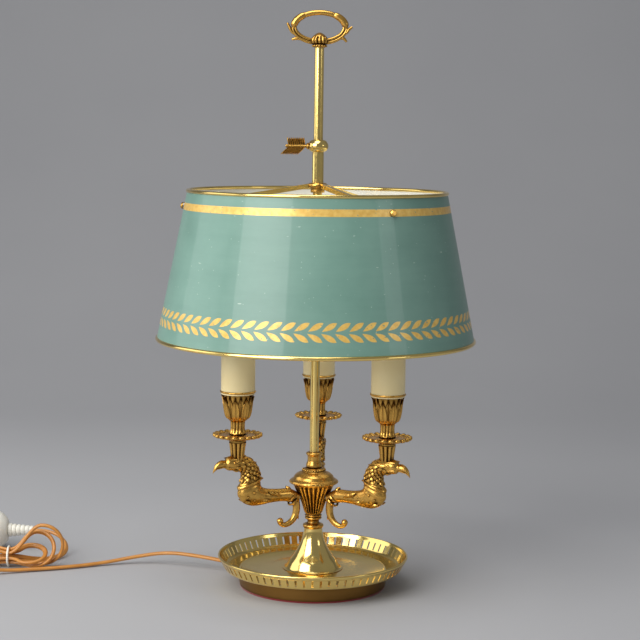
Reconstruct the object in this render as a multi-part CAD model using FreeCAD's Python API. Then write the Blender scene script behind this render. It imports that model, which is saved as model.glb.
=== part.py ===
import FreeCAD, Part

import math
import os

# Three-candle bouillotte table lamp, in millimetres.
# +Z is up, the origin is on the floor under the centre rod, and the front faces -Y.

V = FreeCAD.Vector

# Clearances
seat_gap = 0.05
running_gap = 0.08
body_gap = 0.3

# Foot
felt_thick = 1.5
foot_radius = 64.0
foot_flare = 2.0
foot_wall = 1.2
foot_height = 12.3
weight_thick = 7.6
weight_edge_gap = 1.5
nut_pocket_depth = 3.6

# Tray
tray_sheet = 1.2
tray_floor_radius = 70.0
tray_ridge_radius = 64.0
tray_ridge_height = 0.5
tray_rim_radius = 83.4
tray_rim_height = 12.4
slot_count = 72
slot_width = 1.7
slot_height = 6.4
slot_rise = 2.6

# Centre column, from the tray up
tie_radius = 4.0
tie_bore = 2.5
cone_base_radius = 26.0
cone_top_radius = 8.0
cone_height = 36.0
knop_radius = 8.8
knop_waist = 5.3
knop_height = 10.4
urn_radius = 17.9
urn_foot_radius = 7.4
urn_rim_rise = 11.3
urn_wall = 2.6
urn_flutes = 22
lid_radius = 22.2
lid_top_radius = 7.2
lid_height = 13.7
lid_gadroons = 30
neck_radius = 7.0
neck_waist = 5.7
neck_height = 13.6
rod_radius = 4.0
rod_bore = 2.6
rod_seat_depth = 7.0
rod_top = 470.6

# Ring handle at the top
washer_radius = 6.4
washer_thick = 2.7
ball_radius = 7.6
ball_height = 9.2
ring_half_width = 22.0
ring_half_height = 10.7
ring_bar = 2.5
ring_rise = 13.5
bud_length = 8.0

# Candle arms
arm_count = 3
arm_turn = -2.7
arm_reach = 73.7
arm_height = 79.5
boss_radius = 4.6
boss_reach = 15.5
channel_radius = 1.8
wire_radius = 1.3
stub_radius = 5.8
stub_top_radius = 7.4
candle_rise = 55.5
scroll_bar = 2.4
scroll_reach = 19.3
scroll_drop = 5.9

# Candle cups and what stands in them
nipple_radius = 4.0
nipple_bore = 2.5
pan_radius = 21.7
pan_height = 4.8
pan_scallops = 20
cup_neck_radius = 6.1
cup_radius = 13.0
cup_lip_radius = 15.4
cup_wall = 1.1
cup_height = 35.9
cup_neck_height = 12.0
sleeve_radius = 14.5
sleeve_wall = 1.5
sleeve_height = 61.0
sleeve_seat = 0.9
holder_radius = 11.6
holder_height = 76.0
cap_radius = 6.8
cap_height = 24.0
glass_radius = 17.5
glass_height = 79.0

# Shade and its carrier
collar_radius = 8.6
collar_height = 10.4
collar_base = 379.8
tube_radius = 4.95
hub_radius = 8.2
hub_height = 8.2
hub_base = 344.8
spider_bar = 4.0
spider_turn = 62.0
screw_height = 332.0
screw_head_radius = 2.9
screw_shank_radius = 1.5
tab_size = 8.0
tab_thick = 2.0
shade_top_radius = 111.9
shade_bottom_radius = 137.4
shade_top = 345.2
shade_bottom = 218.2
shade_sheet = 0.8
top_bead = 1.6
bottom_bead = 1.8

# Arrow clamp screw
arrow_shaft = 1.5
arrow_length = 28.0
vane_length = 14.4
vane_height = 6.0
vane_thick = 1.6
vane_lean = 4.6
barb_count = 8
barb_depth = 0.7

# Cord, its switch and its plug
cord_radius = 2.1
cord_angle = 152.0
cord_height = 8.5
bushing_radius = 3.3
bushing_flange_radius = 4.5
bushing_flange = 1.4
lead_radius = 1.6
switch_length = 58.0
switch_width = 26.0
switch_height = 19.0
switch_split = 10.0
rocker_length = 18.0
rocker_width = 10.0
rocker_rise = 2.4
plug_radius = 18.5
plug_length = 36.0
relief_length = 24.0
relief_radius = 7.0
relief_tip_radius = 3.6
pin_radius = 2.35
pin_length = 19.0
pin_spacing = 19.0
tie_strand_ring = 5.4
tie_ring_bar = 1.0
hank_loops = 3
hank_right = 34.0
hank_left = 60.0
hank_nesting = 8.0
lobe_bend = 15.0
lobe_growth = 2.0

# Heights worked out from the sizes above
foot_top = felt_thick + foot_height
tray_floor = foot_top + tray_sheet
tray_rim = tray_floor + tray_rim_height
cone_top = tray_floor + cone_height
knop_top = cone_top + knop_height
urn_top = arm_height + urn_rim_rise
urn_height = urn_top - knop_top
lid_top = urn_top + lid_height
neck_top = lid_top + neck_height
rod_bottom = neck_top - rod_seat_depth
washer_top = rod_top + washer_thick
scroll_top = arm_height - scroll_drop
stub_top = arm_height + candle_rise
cup_base = stub_top + 4.0 + seat_gap
cup_top = cup_base + cup_height
sleeve_base = cup_top - sleeve_seat
holder_base = cup_base + cup_neck_height + 3.0
cap_base = holder_base + holder_height - cap_height
glass_base = holder_base + holder_height
rod_hole = tie_radius + seat_gap
tie_ring_radius = tie_strand_ring + cord_radius + 0.15 + tie_ring_bar
shade_slope = (shade_bottom_radius - shade_top_radius) / (shade_top - shade_bottom)
ARM_NAMES = ("rear", "left", "right")


def flat(point):
    return V(point[0], 0, point[1])


def outline_face(outline):
    """A face in the XZ plane. A list among the points is one smooth curve through its points."""
    edges = []
    here = flat(outline[0])
    for step in outline[1:] + [outline[0]]:
        if isinstance(step, list):
            through = [here] + [flat(point) for point in step]
            curve = Part.BSplineCurve()
            curve.interpolate(through)
            edges.append(curve.toShape())
            here = through[-1]
        elif flat(step).distanceToPoint(here) > 1e-6:
            edges.append(Part.makeLine(here, flat(step)))
            here = flat(step)
    return Part.Face(Part.Wire(edges))


def lathe(outline):
    """A solid turned about Z from an outline of (radius, height) points."""
    return outline_face(outline).revolve(V(0, 0, 0), V(0, 0, 1), 360)


def rod(radius, bottom, top, x=0.0, y=0.0):
    return Part.makeCylinder(radius, top - bottom, V(x, y, bottom))


def fluted(levels, count, turn=0.0):
    """A fluted solid: each level is (radius, height, depth of its flutes)."""
    rings = []
    for radius, height, depth in levels:
        corners = []
        for k in range(2 * count):
            angle = math.radians(turn + 180.0 * k / count)
            reach = radius - (depth if k % 2 else 0.0)
            corners.append(V(reach * math.cos(angle), reach * math.sin(angle), height))
        rings.append(Part.makePolygon(corners + corners[:1]))
    return Part.makeLoft(rings, True, True)


def turned(shape, degrees, centre=V(0, 0, 0), axis=V(0, 0, 1)):
    copy = shape.copy()
    copy.rotate(centre, axis, degrees)
    return copy


def moved(shape, x, y, z):
    copy = shape.copy()
    copy.translate(V(x, y, z))
    return copy


def arm_angle(index):
    return 90.0 + arm_turn + 360.0 * index / arm_count


def at_candle(shape, index):
    """A shape made on the Z axis, moved out to a candle's axis."""
    return turned(moved(shape, arm_reach, 0, 0), arm_angle(index))


def bends(points):
    """For each inner point: its half turn and the tangent length of its arc."""
    found = []
    for before, point, after in zip(points, points[1:], points[2:]):
        into = point.sub(before)
        out = after.sub(point)
        half = into.getAngle(out) / 2
        length = 0.45 * min(into.Length, out.Length)
        found.append((half, length))
    return found


def route(points):
    """A wire of straight runs joined by tangent arcs, and the arcs' radii."""
    edges = []
    radii = []
    here = points[0]
    for point, after, (half, length) in zip(points[1:], points[2:], bends(points)):
        into = point.sub(here).normalize()
        out = after.sub(point).normalize()
        first = point.sub(into * length)
        last = point.add(out * length)
        radius = length / math.tan(half)
        inward = out.sub(into).normalize()
        middle = point.add(inward * (radius / math.cos(half) - radius))
        edges.append(Part.LineSegment(here, first).toShape())
        edges.append(Part.Arc(first, middle, last).toShape())
        radii.append(radius)
        here = last
    edges.append(Part.LineSegment(here, points[-1]).toShape())
    return Part.Wire(edges), radii


def tube_along(points, radius):
    path, radii = route(points)
    direction = points[1].sub(points[0])
    section = Part.Wire(Part.makeCircle(radius, points[0], direction))
    return path.makePipeShell([section], True, False), path, radii


def check_tube(name, solid, path, radii, radius):
    """Prints how tight a cord's tube bends and how its volume agrees with its length."""
    expected = math.pi * radius ** 2 * path.Length
    print(name, "radii", [round(r, 1) for r in radii])
    print(name, "length", round(path.Length, 1), "volume ratio", round(solid.Volume / expected, 4))


def gap_to_itself(path, radius):
    """The least clear gap between parts of one tube that are not neighbours along it."""
    marks = []
    gone = 0.0
    for edge in path.Edges:
        count = max(2, int(edge.Length / 2) + 1)
        for k, point in enumerate(edge.discretize(count)[:-1]):
            marks.append((gone + edge.Length * k / (count - 1), point))
        gone += edge.Length
    least = gone
    for i, (here, point) in enumerate(marks):
        for there, other in marks[i + 1:]:
            if there - here > 7 * radius:
                least = min(least, point.distanceToPoint(other))
    return least - 2 * radius


# Foot: felt pad, plinth ring, iron weight and the nut that ties the lamp together

def foot_outer(height):
    return foot_radius + foot_flare * (height - felt_thick) / foot_height


def make_felt_pad():
    return rod(foot_radius - 0.2, 0, felt_thick)


def make_base_plinth():
    wall = lathe([
        (foot_radius, felt_thick),
        (foot_outer(foot_top), foot_top),
        (foot_outer(foot_top) - foot_wall, foot_top),
        (foot_radius - foot_wall, felt_thick),
    ])
    hole = Part.makeCylinder(bushing_radius + seat_gap, 10, V(foot_radius - 6, 0, cord_height), V(1, 0, 0))
    return wall.cut(turned(hole, cord_angle))


def make_base_weight():
    bottom = felt_thick
    top = bottom + weight_thick
    weight = rod(foot_radius - foot_wall - weight_edge_gap, bottom, top)
    weight = weight.cut(rod(rod_hole, bottom, top))
    weight = weight.cut(rod(9.5, bottom, bottom + nut_pocket_depth))
    groove_depth = top - (cord_height - lead_radius - 0.4)
    groove = Part.makeBox(
        foot_radius, 2 * lead_radius + 1.2, groove_depth + 1,
        V(0, -lead_radius - 0.6, top - groove_depth),
    )
    return weight.cut(turned(groove, cord_angle))


def make_tie_nut():
    top = felt_thick + nut_pocket_depth
    washer = rod(7.5, top - 0.8, top).cut(rod(rod_hole, top - 1, top))
    corners = [turned(Part.Vertex(7.2, 0, top - 3.4), 60 * k).Point for k in range(6)]
    nut = Part.Face(Part.makePolygon(corners + corners[:1])).extrude(V(0, 0, 2.6))
    nut = nut.cut(rod(rod_hole, top - 4, top))
    return Part.makeCompound([washer, nut])


def make_tie_tube():
    bottom = felt_thick + 0.3
    tube = rod(tie_radius, bottom, rod_bottom - 0.5).cut(rod(tie_bore, bottom, rod_bottom))
    slot = Part.makeBox(8, 2 * lead_radius + 0.6, 9, V(0, -lead_radius - 0.3, cord_height - lead_radius - 0.3))
    tube = tube.cut(turned(slot, cord_angle))
    for index in range(arm_count):
        window = Part.makeCylinder(channel_radius, 8, V(0, 0, arm_height), V(1, 0, 0))
        tube = tube.cut(turned(window, arm_angle(index)))
    return tube


# Tray: a pressed dish with a pierced gallery and a flared, rolled rim

def make_tray_dish():
    floor = tray_floor
    under = foot_top
    rim = tray_rim_radius
    shoulder = rim - 2.2
    foot_of_wall = rim - 6.0
    ridge = tray_ridge_radius
    dish = lathe([
        (rod_hole, under),
        (tray_floor_radius - 1, under),
        [(foot_of_wall - 1.2, under + 1.3), (foot_of_wall + tray_sheet, floor + 2.2)],
        (shoulder + tray_sheet, tray_rim - 3.4),
        (rim - 0.5, tray_rim - 1.9),
        (rim, tray_rim - 0.9),
        (rim - 0.4, tray_rim),
        (rim - 1.5, tray_rim + 0.2),
        (shoulder, tray_rim - 2.6),
        (foot_of_wall, floor + 2.6),
        [(foot_of_wall - 2.2, floor + 0.7), (tray_floor_radius - 1.2, floor)],
        (ridge + 1.6, floor),
        (ridge + 0.8, floor + tray_ridge_height),
        (ridge - 0.8, floor + tray_ridge_height),
        (ridge - 1.6, floor),
        (rod_hole, floor),
    ])
    slot_bottom = floor + slot_rise
    slots = []
    for k in range(slot_count):
        slot = Part.makeBox(
            9, slot_width, slot_height,
            V(foot_of_wall - 2, -slot_width / 2, slot_bottom),
        )
        slots.append(turned(slot, 360.0 * k / slot_count))
    return dish.cut(Part.makeCompound(slots))


# Column: cone, knop, urn, lid and neck

def make_pedestal_cone():
    base = cone_base_radius
    top = cone_top_radius
    rise = cone_height
    cone = lathe([
        (rod_hole, tray_floor),
        (base, tray_floor),
        [
            (top + 0.70 * (base - top), tray_floor + 0.20 * rise),
            (top + 0.36 * (base - top), tray_floor + 0.42 * rise),
            (top + 0.14 * (base - top), tray_floor + 0.68 * rise),
            (top, cone_top),
        ],
        (rod_hole, cone_top),
    ])
    return cone


def make_knop():
    r = knop_radius
    low = cone_top
    h = knop_height
    return lathe([
        (rod_hole, low),
        (r * 0.9, low),
        (r, low + 0.1 * h),
        (r, low + 0.2 * h),
        (r * 0.72, low + 0.34 * h),
        (knop_waist, low + 0.42 * h),
        (knop_waist, low + 0.62 * h),
        (r * 0.8, low + 0.74 * h),
        (r * 0.84, low + 0.86 * h),
        (r * 0.7, knop_top),
        (rod_hole, knop_top),
    ])


def urn_outer(share):
    """Radius of the urn at a share of its height: a vase that flares towards its top."""
    return urn_foot_radius + (urn_radius - urn_foot_radius) * (0.3 * share + 0.7 * share ** 3.4)


def make_urn_body():
    levels = [(urn_outer(0), knop_top, 0.0)]
    for share in (0.12, 0.4, 0.6, 0.76, 0.9, 1.0):
        levels.append((urn_outer(share) + 0.7, knop_top + share * urn_height, 1.2))
    body = fluted(levels, urn_flutes)
    cavity = [(rod_hole, knop_top + 0.2 * urn_height)]
    for share in (0.2, 0.6, 0.76, 0.9, 1.0):
        inner = urn_outer(share) - urn_wall + 0.6
        cavity.append((inner, knop_top + share * urn_height))
    cavity.append((rod_hole, urn_top))
    for index in range(arm_count):
        boss = Part.makeCylinder(boss_radius, boss_reach - 8, V(8, 0, arm_height), V(1, 0, 0))
        body = body.fuse(turned(boss, arm_angle(index)))
    body = body.cut(lathe(cavity)).cut(rod(rod_hole, knop_top, urn_top))
    for index in range(arm_count):
        channel = Part.makeCylinder(channel_radius, boss_reach, V(0, 0, arm_height), V(1, 0, 0))
        body = body.cut(turned(channel, arm_angle(index)))
    return body


def make_urn_lid():
    r = lid_radius
    h = lid_height
    levels = [
        (r - 1.6, urn_top, 0.4),
        (r, urn_top + 0.08 * h, 1.0),
        (r, urn_top + 0.22 * h, 1.0),
        (r - 2.6, urn_top + 0.34 * h, 0.2),
    ]
    edge = fluted(levels, lid_gadroons)
    dome = lathe([
        (0, urn_top),
        (r - 2.9, urn_top),
        (r - 2.9, urn_top + 0.34 * h),
        [(r - 7.5, urn_top + 0.66 * h), (lid_top_radius + 2.0, urn_top + 0.8 * h)],
        (lid_top_radius + 2.2, urn_top + 0.92 * h),
        (lid_top_radius, lid_top),
        (0, lid_top),
    ])
    return edge.fuse(dome).cut(rod(rod_hole, urn_top, lid_top))


def make_stem_collar():
    h = neck_height
    outer = lathe([
        (rod_hole, lid_top),
        (neck_radius - 0.8, lid_top),
        (neck_radius - 0.3, lid_top + 0.12 * h),
        (neck_radius - 0.3, lid_top + 0.28 * h),
        (neck_waist, lid_top + 0.44 * h),
        (neck_waist, lid_top + 0.7 * h),
        (neck_radius, lid_top + 0.9 * h),
        (neck_radius, neck_top),
        (rod_hole, neck_top),
    ])
    return outer.cut(rod(rod_radius + seat_gap, rod_bottom, neck_top))


def make_centre_rod():
    return rod(rod_radius, rod_bottom, rod_top).cut(rod(rod_bore, rod_bottom, rod_top))


# Ring handle

def make_finial_washer():
    r = washer_radius
    ring = fluted([
        (r - 0.9, rod_top, 0.3),
        (r, rod_top + 0.3 * washer_thick, 0.7),
        (r, rod_top + 0.7 * washer_thick, 0.7),
        (r - 0.9, washer_top, 0.3),
    ], 16)
    return ring.cut(rod(rod_bore - 0.3 + seat_gap, rod_top, washer_top))


def ring_point(turn):
    """A point of the ring's centre line, and the outward direction there."""
    angle = math.radians(turn)
    centre = washer_top + ring_rise
    point = V(ring_half_width * math.cos(angle), 0, centre + ring_half_height * math.sin(angle))
    out = V(math.cos(angle) / ring_half_width, 0, math.sin(angle) / ring_half_height)
    return point, out.normalize()


def make_bud(turn, lean):
    """A bud that leaves the ring at a slant: turn is its place, lean its slant along the ring."""
    point, out = ring_point(turn)
    along = V(-out.z, 0, out.x)
    direction = (out + along * lean).normalize()
    return Part.makeCone(1.7, 0.9, bud_length, point, direction)


def make_ring_handle():
    centre = V(0, 0, washer_top + ring_rise)
    oval = Part.Ellipse(
        centre + V(ring_half_width, 0, 0), centre + V(0, 0, ring_half_height), centre,
    ).toShape()
    start = oval.valueAt(oval.FirstParameter)
    section = Part.Wire(Part.makeCircle(ring_bar, start, oval.tangentAt(oval.FirstParameter)))
    ring = Part.Wire(oval).makePipeShell([section], True, False)
    ball = fluted([
        (ball_radius * 0.72, washer_top, 0.6),
        (ball_radius, washer_top + 0.2 * ball_height, 1.1),
        (ball_radius, washer_top + 0.45 * ball_height, 1.0),
        (ball_radius * 0.62, washer_top + 0.78 * ball_height, 0.5),
        (ball_radius * 0.2, washer_top + ball_height, 0.1),
    ], 12)
    spigot = rod(rod_bore - 0.3, rod_top - 8, washer_top + 1)
    handle = ring.fuse([ball, spigot])
    for turn, lean in ((186, 0.5), (210, -1.6), (-6, -0.9), (-32, 1.8)):
        handle = handle.fuse(make_bud(turn, lean))
    return handle


# Candle arms: an eagle's head and neck on a cast arm, hollow for its wires

def arm_section(low, high, half_width):
    """A rounded section of the arm, from a low to a high point of the side view."""
    middle = V((low[0] + high[0]) / 2, 0, (low[1] + high[1]) / 2)
    up = V(high[0] - low[0], 0, high[1] - low[1]) * 0.5
    side = V(0, half_width, 0)
    corners = []
    for k in range(10):
        angle = math.radians(36 * k)
        corners.append(middle + up * math.cos(angle) + side * math.sin(angle))
    return Part.makePolygon(corners + corners[:1])


def arm_side_view():
    """Sections of the arm, from the boss to the tip of the beak: low point, high point, half width."""
    r = arm_reach
    z = arm_height
    straight = boss_reach + 0.55 * (r - 26 - boss_reach)
    return [
        ((boss_reach, z - 4.5), (boss_reach, z + 4.5), 4.5),
        ((boss_reach + 8, z - 3.8), (boss_reach + 8, z + 8.4), 4.8),
        ((straight, z - 2.3), (straight, z + 8.9), 5.0),
        ((r - 29.5, z - 2.8), (r - 32, z + 9.4), 5.5),
        ((r - 21, z - 3.9), (r - 26, z + 10.6), 6.3),
        ((r - 12.6, z - 3.7), (r - 22.7, z + 12.4), 7.0),
        ((r - 5.0, z - 0.2), (r - 21.6, z + 14.4), 7.3),
        ((r - 0.9, z + 6.6), (r - 21.3, z + 16.4), 7.0),
        ((r - 1.5, z + 13.4), (r - 21.1, z + 19.0), 6.4),
        ((r - 4.6, z + 20.0), (r - 20.6, z + 22.6), 5.6),
        ((r - 5.6, z + 24.6), (r - 18.9, z + 28.6), 5.2),
        ((r - 4.0, z + 27.8), (r - 14.9, z + 34.8), 5.4),
        ((r - 0.2, z + 28.2), (r - 7.0, z + 40.0), 5.9),
        ((r + 5.6, z + 28.6), (r + 4.2, z + 40.8), 6.0),
        ((r + 10.8, z + 30.0), (r + 10.4, z + 38.8), 4.6),
        ((r + 15.0, z + 31.6), (r + 14.8, z + 36.8), 2.6),
        ((r + 19.6, z + 31.6), (r + 18.9, z + 35.2), 1.6),
        ((r + 22.7, z + 29.6), (r + 22.5, z + 30.6), 0.5),
    ]


def wire_route(start):
    """Centre line of an arm's wires: out along the arm, up the neck, and up under the candle."""
    r = arm_reach
    z = arm_height
    return [
        V(start, 0, z),
        V(boss_reach + 2, 0, z),
        V(0.5 * (boss_reach + r), 0, z + 3.4),
        V(r - 21, 0, z + 3.8),
        V(r - 12, 0, z + 9.5),
        V(r - 11.3, 0, z + 19.5),
        V(r - 11.5, 0, z + 27.5),
        V(r - 6.0, 0, z + 34.0),
        V(r - 1.2, 0, z + 37.0),
        V(r, 0, z + 42.5),
        V(r, 0, stub_top - 8),
    ]


def make_bird_arm():
    sections = [arm_section(*section) for section in arm_side_view()]
    body = Part.makeLoft(sections, True, True)
    stub_base = arm_height + 37.0
    stub = fluted([
        (stub_radius, stub_base, 0.8),
        (stub_radius, stub_base + 4.5, 0.8),
        (stub_top_radius, stub_top - 2.6, 0.9),
    ], 10)
    stub = stub.fuse(lathe([
        (0, stub_top - 2.6), (stub_top_radius - 0.6, stub_top - 2.6),
        (stub_top_radius, stub_top - 1.8), (stub_top_radius, stub_top - 0.7),
        (stub_top_radius - 0.7, stub_top), (0, stub_top),
    ]))
    body = body.fuse(moved(stub, arm_reach, 0, 0))
    ridge = Part.makeCylinder(5.9, 3.2, V(scroll_reach, 0, arm_height - 3.1), V(1, 0, 1))
    ridge = ridge.common(Part.makeBox(40, 40, 40, V(boss_reach, -20, scroll_top)))
    pad = rod(3.2, scroll_top, arm_height - 2, scroll_reach)
    body = body.fuse([ridge, pad])
    for tip, root, height in ((-9.2, -13.5, 24.2), (-14.2, -15.5, 21.0)):
        feather = Part.makeCone(
            1.9, 0.5, 5.5, V(arm_reach + root, 0, arm_height + height + 8), V(tip, 0, 9),
        )
        body = body.fuse(feather)
    spur = Part.makeCone(1.8, 0.7, 7.5, V(arm_reach - 20.4, 0, arm_height + 15.6), V(-5, 0, 4.6))
    body = body.fuse(spur)
    channel, _, _ = tube_along(wire_route(boss_reach - 1), channel_radius)
    body = body.cut(channel)
    thread_hole = rod(nipple_radius + seat_gap, stub_top - 8.5, stub_top + 1, arm_reach)
    return body.cut(thread_hole)


def make_arm_scroll():
    """The C-scroll under an arm: a bar that goes down beside the urn and curls outwards."""
    path_points = [
        V(scroll_reach, 0, scroll_top),
        V(scroll_reach - 0.9, 0, scroll_top - 6.4),
        V(scroll_reach + 0.4, 0, scroll_top - 12.2),
        V(scroll_reach + 4.6, 0, scroll_top - 15.8),
        V(scroll_reach + 9.6, 0, scroll_top - 16.6),
        V(scroll_reach + 13.2, 0, scroll_top - 15.4),
    ]
    sizes = (2.9, 2.5, 2.4, 2.3, 2.0, 1.8)
    rings = []
    for k, (point, size) in enumerate(zip(path_points, sizes)):
        ahead = path_points[min(k + 1, len(path_points) - 1)]
        behind = path_points[max(k - 1, 0)]
        along = ahead.sub(behind).normalize() if k else V(0, 0, -1)
        across = V(along.z, 0, -along.x)
        corners = []
        for step in range(8):
            angle = math.radians(45 * step + 22.5)
            corners.append(point + across * (size * math.cos(angle)) + V(0, 1, 0) * (size * 1.1 * math.sin(angle)))
        rings.append(Part.makePolygon(corners + corners[:1]))
    bar = Part.makeLoft(rings, True, True)
    curl = Part.makeSphere(scroll_bar * 1.2, path_points[-1] + V(0.4, 0, 1.6))
    return bar.fuse(curl)


# Candle fittings, made on the Z axis and moved out to each candle

def make_drip_pan():
    r = pan_radius
    low = stub_top
    pan = fluted([
        (7.2, low, 0.2),
        (0.62 * r, low + 0.8, 0.6),
        (r - 1.2, low + 2.2, 1.2),
        (r, low + 3.6, 1.3),
        (r - 1.2, low + pan_height, 1.0),
    ], pan_scallops)
    hollow = lathe([
        (cup_neck_radius + 2, cup_base - seat_gap),
        (r - 5.0, cup_base - seat_gap - 0.4),
        (r - 3.4, low + pan_height + 0.1),
        (0, low + pan_height + 0.1),
        (0, cup_base - seat_gap),
    ])
    return pan.cut(hollow).cut(rod(nipple_radius + seat_gap, low, cup_base))


def make_candle_cup():
    neck_top_height = cup_base + cup_neck_height
    outer = fluted([
        (cup_neck_radius + 0.6, cup_base, 0.7),
        (cup_neck_radius, cup_base + 0.5 * cup_neck_height, 0.7),
        (cup_neck_radius + 0.2, neck_top_height - 1.4, 0.3),
        (cup_neck_radius + 1.4, neck_top_height, 0.5),
        (0.76 * cup_radius, neck_top_height + 2.0, 0.9),
        (0.92 * cup_radius, neck_top_height + 8.0, 1.0),
        (cup_radius, cup_top - 4.4, 0.8),
        (cup_radius - 0.3, cup_top - 3.4, 0.2),
    ], 12)
    lip = lathe([
        (0, cup_top - 3.4), (cup_radius - 0.3, cup_top - 3.4),
        (cup_lip_radius - 0.8, cup_top - 2.2), (cup_lip_radius, cup_top - 1.4),
        (cup_lip_radius, cup_top), (0, cup_top),
    ])
    cup = outer.fuse(lip)
    cup = cup.cut(rod(sleeve_radius + 0.1, sleeve_base, cup_top))
    inner = cup_radius - cup_wall - 1.2
    cup = cup.cut(lathe([
        (0, holder_base), (0.5 * inner, holder_base), (inner * 0.86, holder_base + 3.0),
        (inner, holder_base + 9.0), (inner, sleeve_base + 0.1), (0, sleeve_base + 0.1),
    ]))
    return cup.cut(rod(nipple_radius + seat_gap, cup_base, holder_base))


def make_arm_nipple():
    bottom = stub_top - 8
    top = holder_base + 5
    return rod(nipple_radius, bottom, top).cut(rod(nipple_bore, bottom, top))


def make_candle_sleeve():
    top = sleeve_base + sleeve_height
    tube = rod(sleeve_radius, sleeve_base, top)
    return tube.cut(rod(sleeve_radius - sleeve_wall, sleeve_base, top))


def make_lamp_holder():
    """A screw lamp holder: a stem on the nipple, and a barrel that takes the bulb's cap."""
    neck = 0.34 * holder_radius + nipple_radius
    body = lathe([
        (0, holder_base), (0.42 * (cup_radius - cup_wall), holder_base),
        (neck, holder_base + 3.2), (neck, sleeve_base + 0.5),
        (holder_radius, sleeve_base + 4.5), (holder_radius, glass_base - seat_gap),
        (0, glass_base - seat_gap),
    ])
    body = body.cut(rod(cap_radius + 0.15, cap_base, glass_base))
    return body.cut(rod(nipple_radius + seat_gap, holder_base, holder_base + 6))


def make_bulb_cap():
    r = cap_radius
    return lathe([
        (0, cap_base), (2.4, cap_base), (2.4, cap_base + 1.2), (r, cap_base + 4.5),
        (r, glass_base), (0, glass_base),
    ])


def make_bulb_glass():
    r = glass_radius
    h = glass_height
    return lathe([
        (0, glass_base), (cap_radius - 0.2, glass_base),
        [
            (0.62 * r, glass_base + 0.10 * h), (r, glass_base + 0.38 * h),
            (0.80 * r, glass_base + 0.64 * h), (0.34 * r, glass_base + 0.86 * h),
            (0.12 * r, glass_base + h),
        ],
        (0, glass_base + h),
    ])


# Shade carrier

def shade_radius_at(height):
    """Outer radius of the shade's sheet at a height."""
    return shade_top_radius + (shade_top - height) * shade_slope


def make_shade_shell():
    shell = lathe([
        (shade_bottom_radius, shade_bottom),
        (shade_top_radius, shade_top),
        (shade_top_radius - shade_sheet, shade_top),
        (shade_bottom_radius - shade_sheet, shade_bottom),
    ])
    for index in range(arm_count):
        hole = spider_bolt(screw_shank_radius + 0.1, -6, 6)
        shell = shell.cut(turned(hole, spider_turn + 360.0 * index / arm_count))
    return shell


def make_bead(radius, height, bar):
    """A rolled rim: a six-sided bead with a slot that grips the sheet's edge."""
    corners = []
    for k in range(6):
        angle = math.radians(60 * k)
        corners.append((radius + bar * math.cos(angle), height + bar * math.sin(angle)))
    bead = lathe(corners)
    slack = 2 * seat_gap
    sheet = lathe([
        (shade_bottom_radius + slack, shade_bottom - slack),
        (shade_top_radius + slack, shade_top + slack),
        (shade_top_radius - shade_sheet - slack, shade_top + slack),
        (shade_bottom_radius - shade_sheet - slack, shade_bottom - slack),
    ])
    return bead.cut(sheet)


def make_shade_top_rim():
    return make_bead(shade_top_radius - shade_sheet / 2, shade_top, top_bead)


def make_shade_bottom_rim():
    return make_bead(shade_bottom_radius - shade_sheet / 2, shade_bottom, bottom_bead)


def make_sleeve_tube():
    bottom = hub_base
    top = collar_base - body_gap
    return rod(tube_radius, bottom, top).cut(rod(rod_radius + running_gap, bottom, top))


def make_spider_hub():
    h = hub_height
    r = hub_radius
    return lathe([
        (tube_radius + seat_gap, hub_base), (0.74 * r, hub_base),
        (0.74 * r, hub_base + 0.45 * h), (0.94 * r, hub_base + 0.5 * h),
        (r, hub_base + 0.72 * h), (0.94 * r, hub_base + 0.92 * h),
        (0.8 * r, hub_base + h), (tube_radius + seat_gap, hub_base + h),
    ])


def spider_bolt(radius, start, end):
    """A cylinder square to the shade's wall at a screw, on the +X side; 0 is the wall's outside."""
    out = V(1, 0, shade_slope).normalize()
    wall = V(shade_radius_at(screw_height), 0, screw_height)
    return Part.makeCylinder(radius, end - start, wall + out * start, out)


def make_spider_arm():
    """A bar that slopes from the hub down to a tab behind the shade's wall."""
    wall = shade_radius_at(screw_height) - shade_sheet - seat_gap
    hub_side = 0.98 * hub_radius
    hub_middle = hub_base + 0.66 * hub_height
    half = spider_bar / 2
    run = outline_face([
        (hub_side, hub_middle + half), (hub_side, hub_middle - half),
        (wall - tab_thick, screw_height - half), (wall - tab_thick, screw_height + half),
    ]).extrude(V(0, spider_bar, 0))
    run = moved(run, 0, -spider_bar / 2, 0)
    tab_foot = wall + (tab_size / 2) * shade_slope
    tab_head = wall - (tab_size / 2) * shade_slope
    tab = outline_face([
        (tab_foot, screw_height - tab_size / 2), (tab_head, screw_height + tab_size / 2),
        (tab_head - tab_thick, screw_height + tab_size / 2),
        (tab_foot - tab_thick, screw_height - tab_size / 2),
    ]).extrude(V(0, tab_size, 0))
    tab = moved(tab, 0, -tab_size / 2, 0)
    wall_room = lathe([
        (shade_bottom_radius + 9, shade_bottom), (shade_top_radius + 9, shade_top),
        (shade_top_radius - shade_sheet - seat_gap, shade_top),
        (shade_bottom_radius - shade_sheet - seat_gap, shade_bottom),
    ])
    arm = run.fuse(tab).cut(wall_room)
    arm = arm.cut(spider_bolt(screw_shank_radius + seat_gap, -8, 1))
    return arm.removeSplitter()


def make_spider_arms():
    arm = make_spider_arm()
    hub_room = rod(hub_radius + seat_gap, hub_base, hub_base + hub_height)
    arm = arm.cut(hub_room)
    return Part.makeCompound([turned(arm, spider_turn + 360.0 * k / arm_count) for k in range(arm_count)])


def make_shade_screws():
    shank = spider_bolt(screw_shank_radius, -6.0, 0.4)
    out = V(1, 0, shade_slope).normalize()
    wall = V(shade_radius_at(screw_height), 0, screw_height)
    head = Part.makeSphere(screw_head_radius * 1.1, wall + out * 0.2)
    cap = spider_bolt(screw_head_radius, 0.15, 2.8)
    screw = shank.fuse(head.common(cap))
    return Part.makeCompound([turned(screw, spider_turn + 360.0 * k / arm_count) for k in range(arm_count)])


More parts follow.
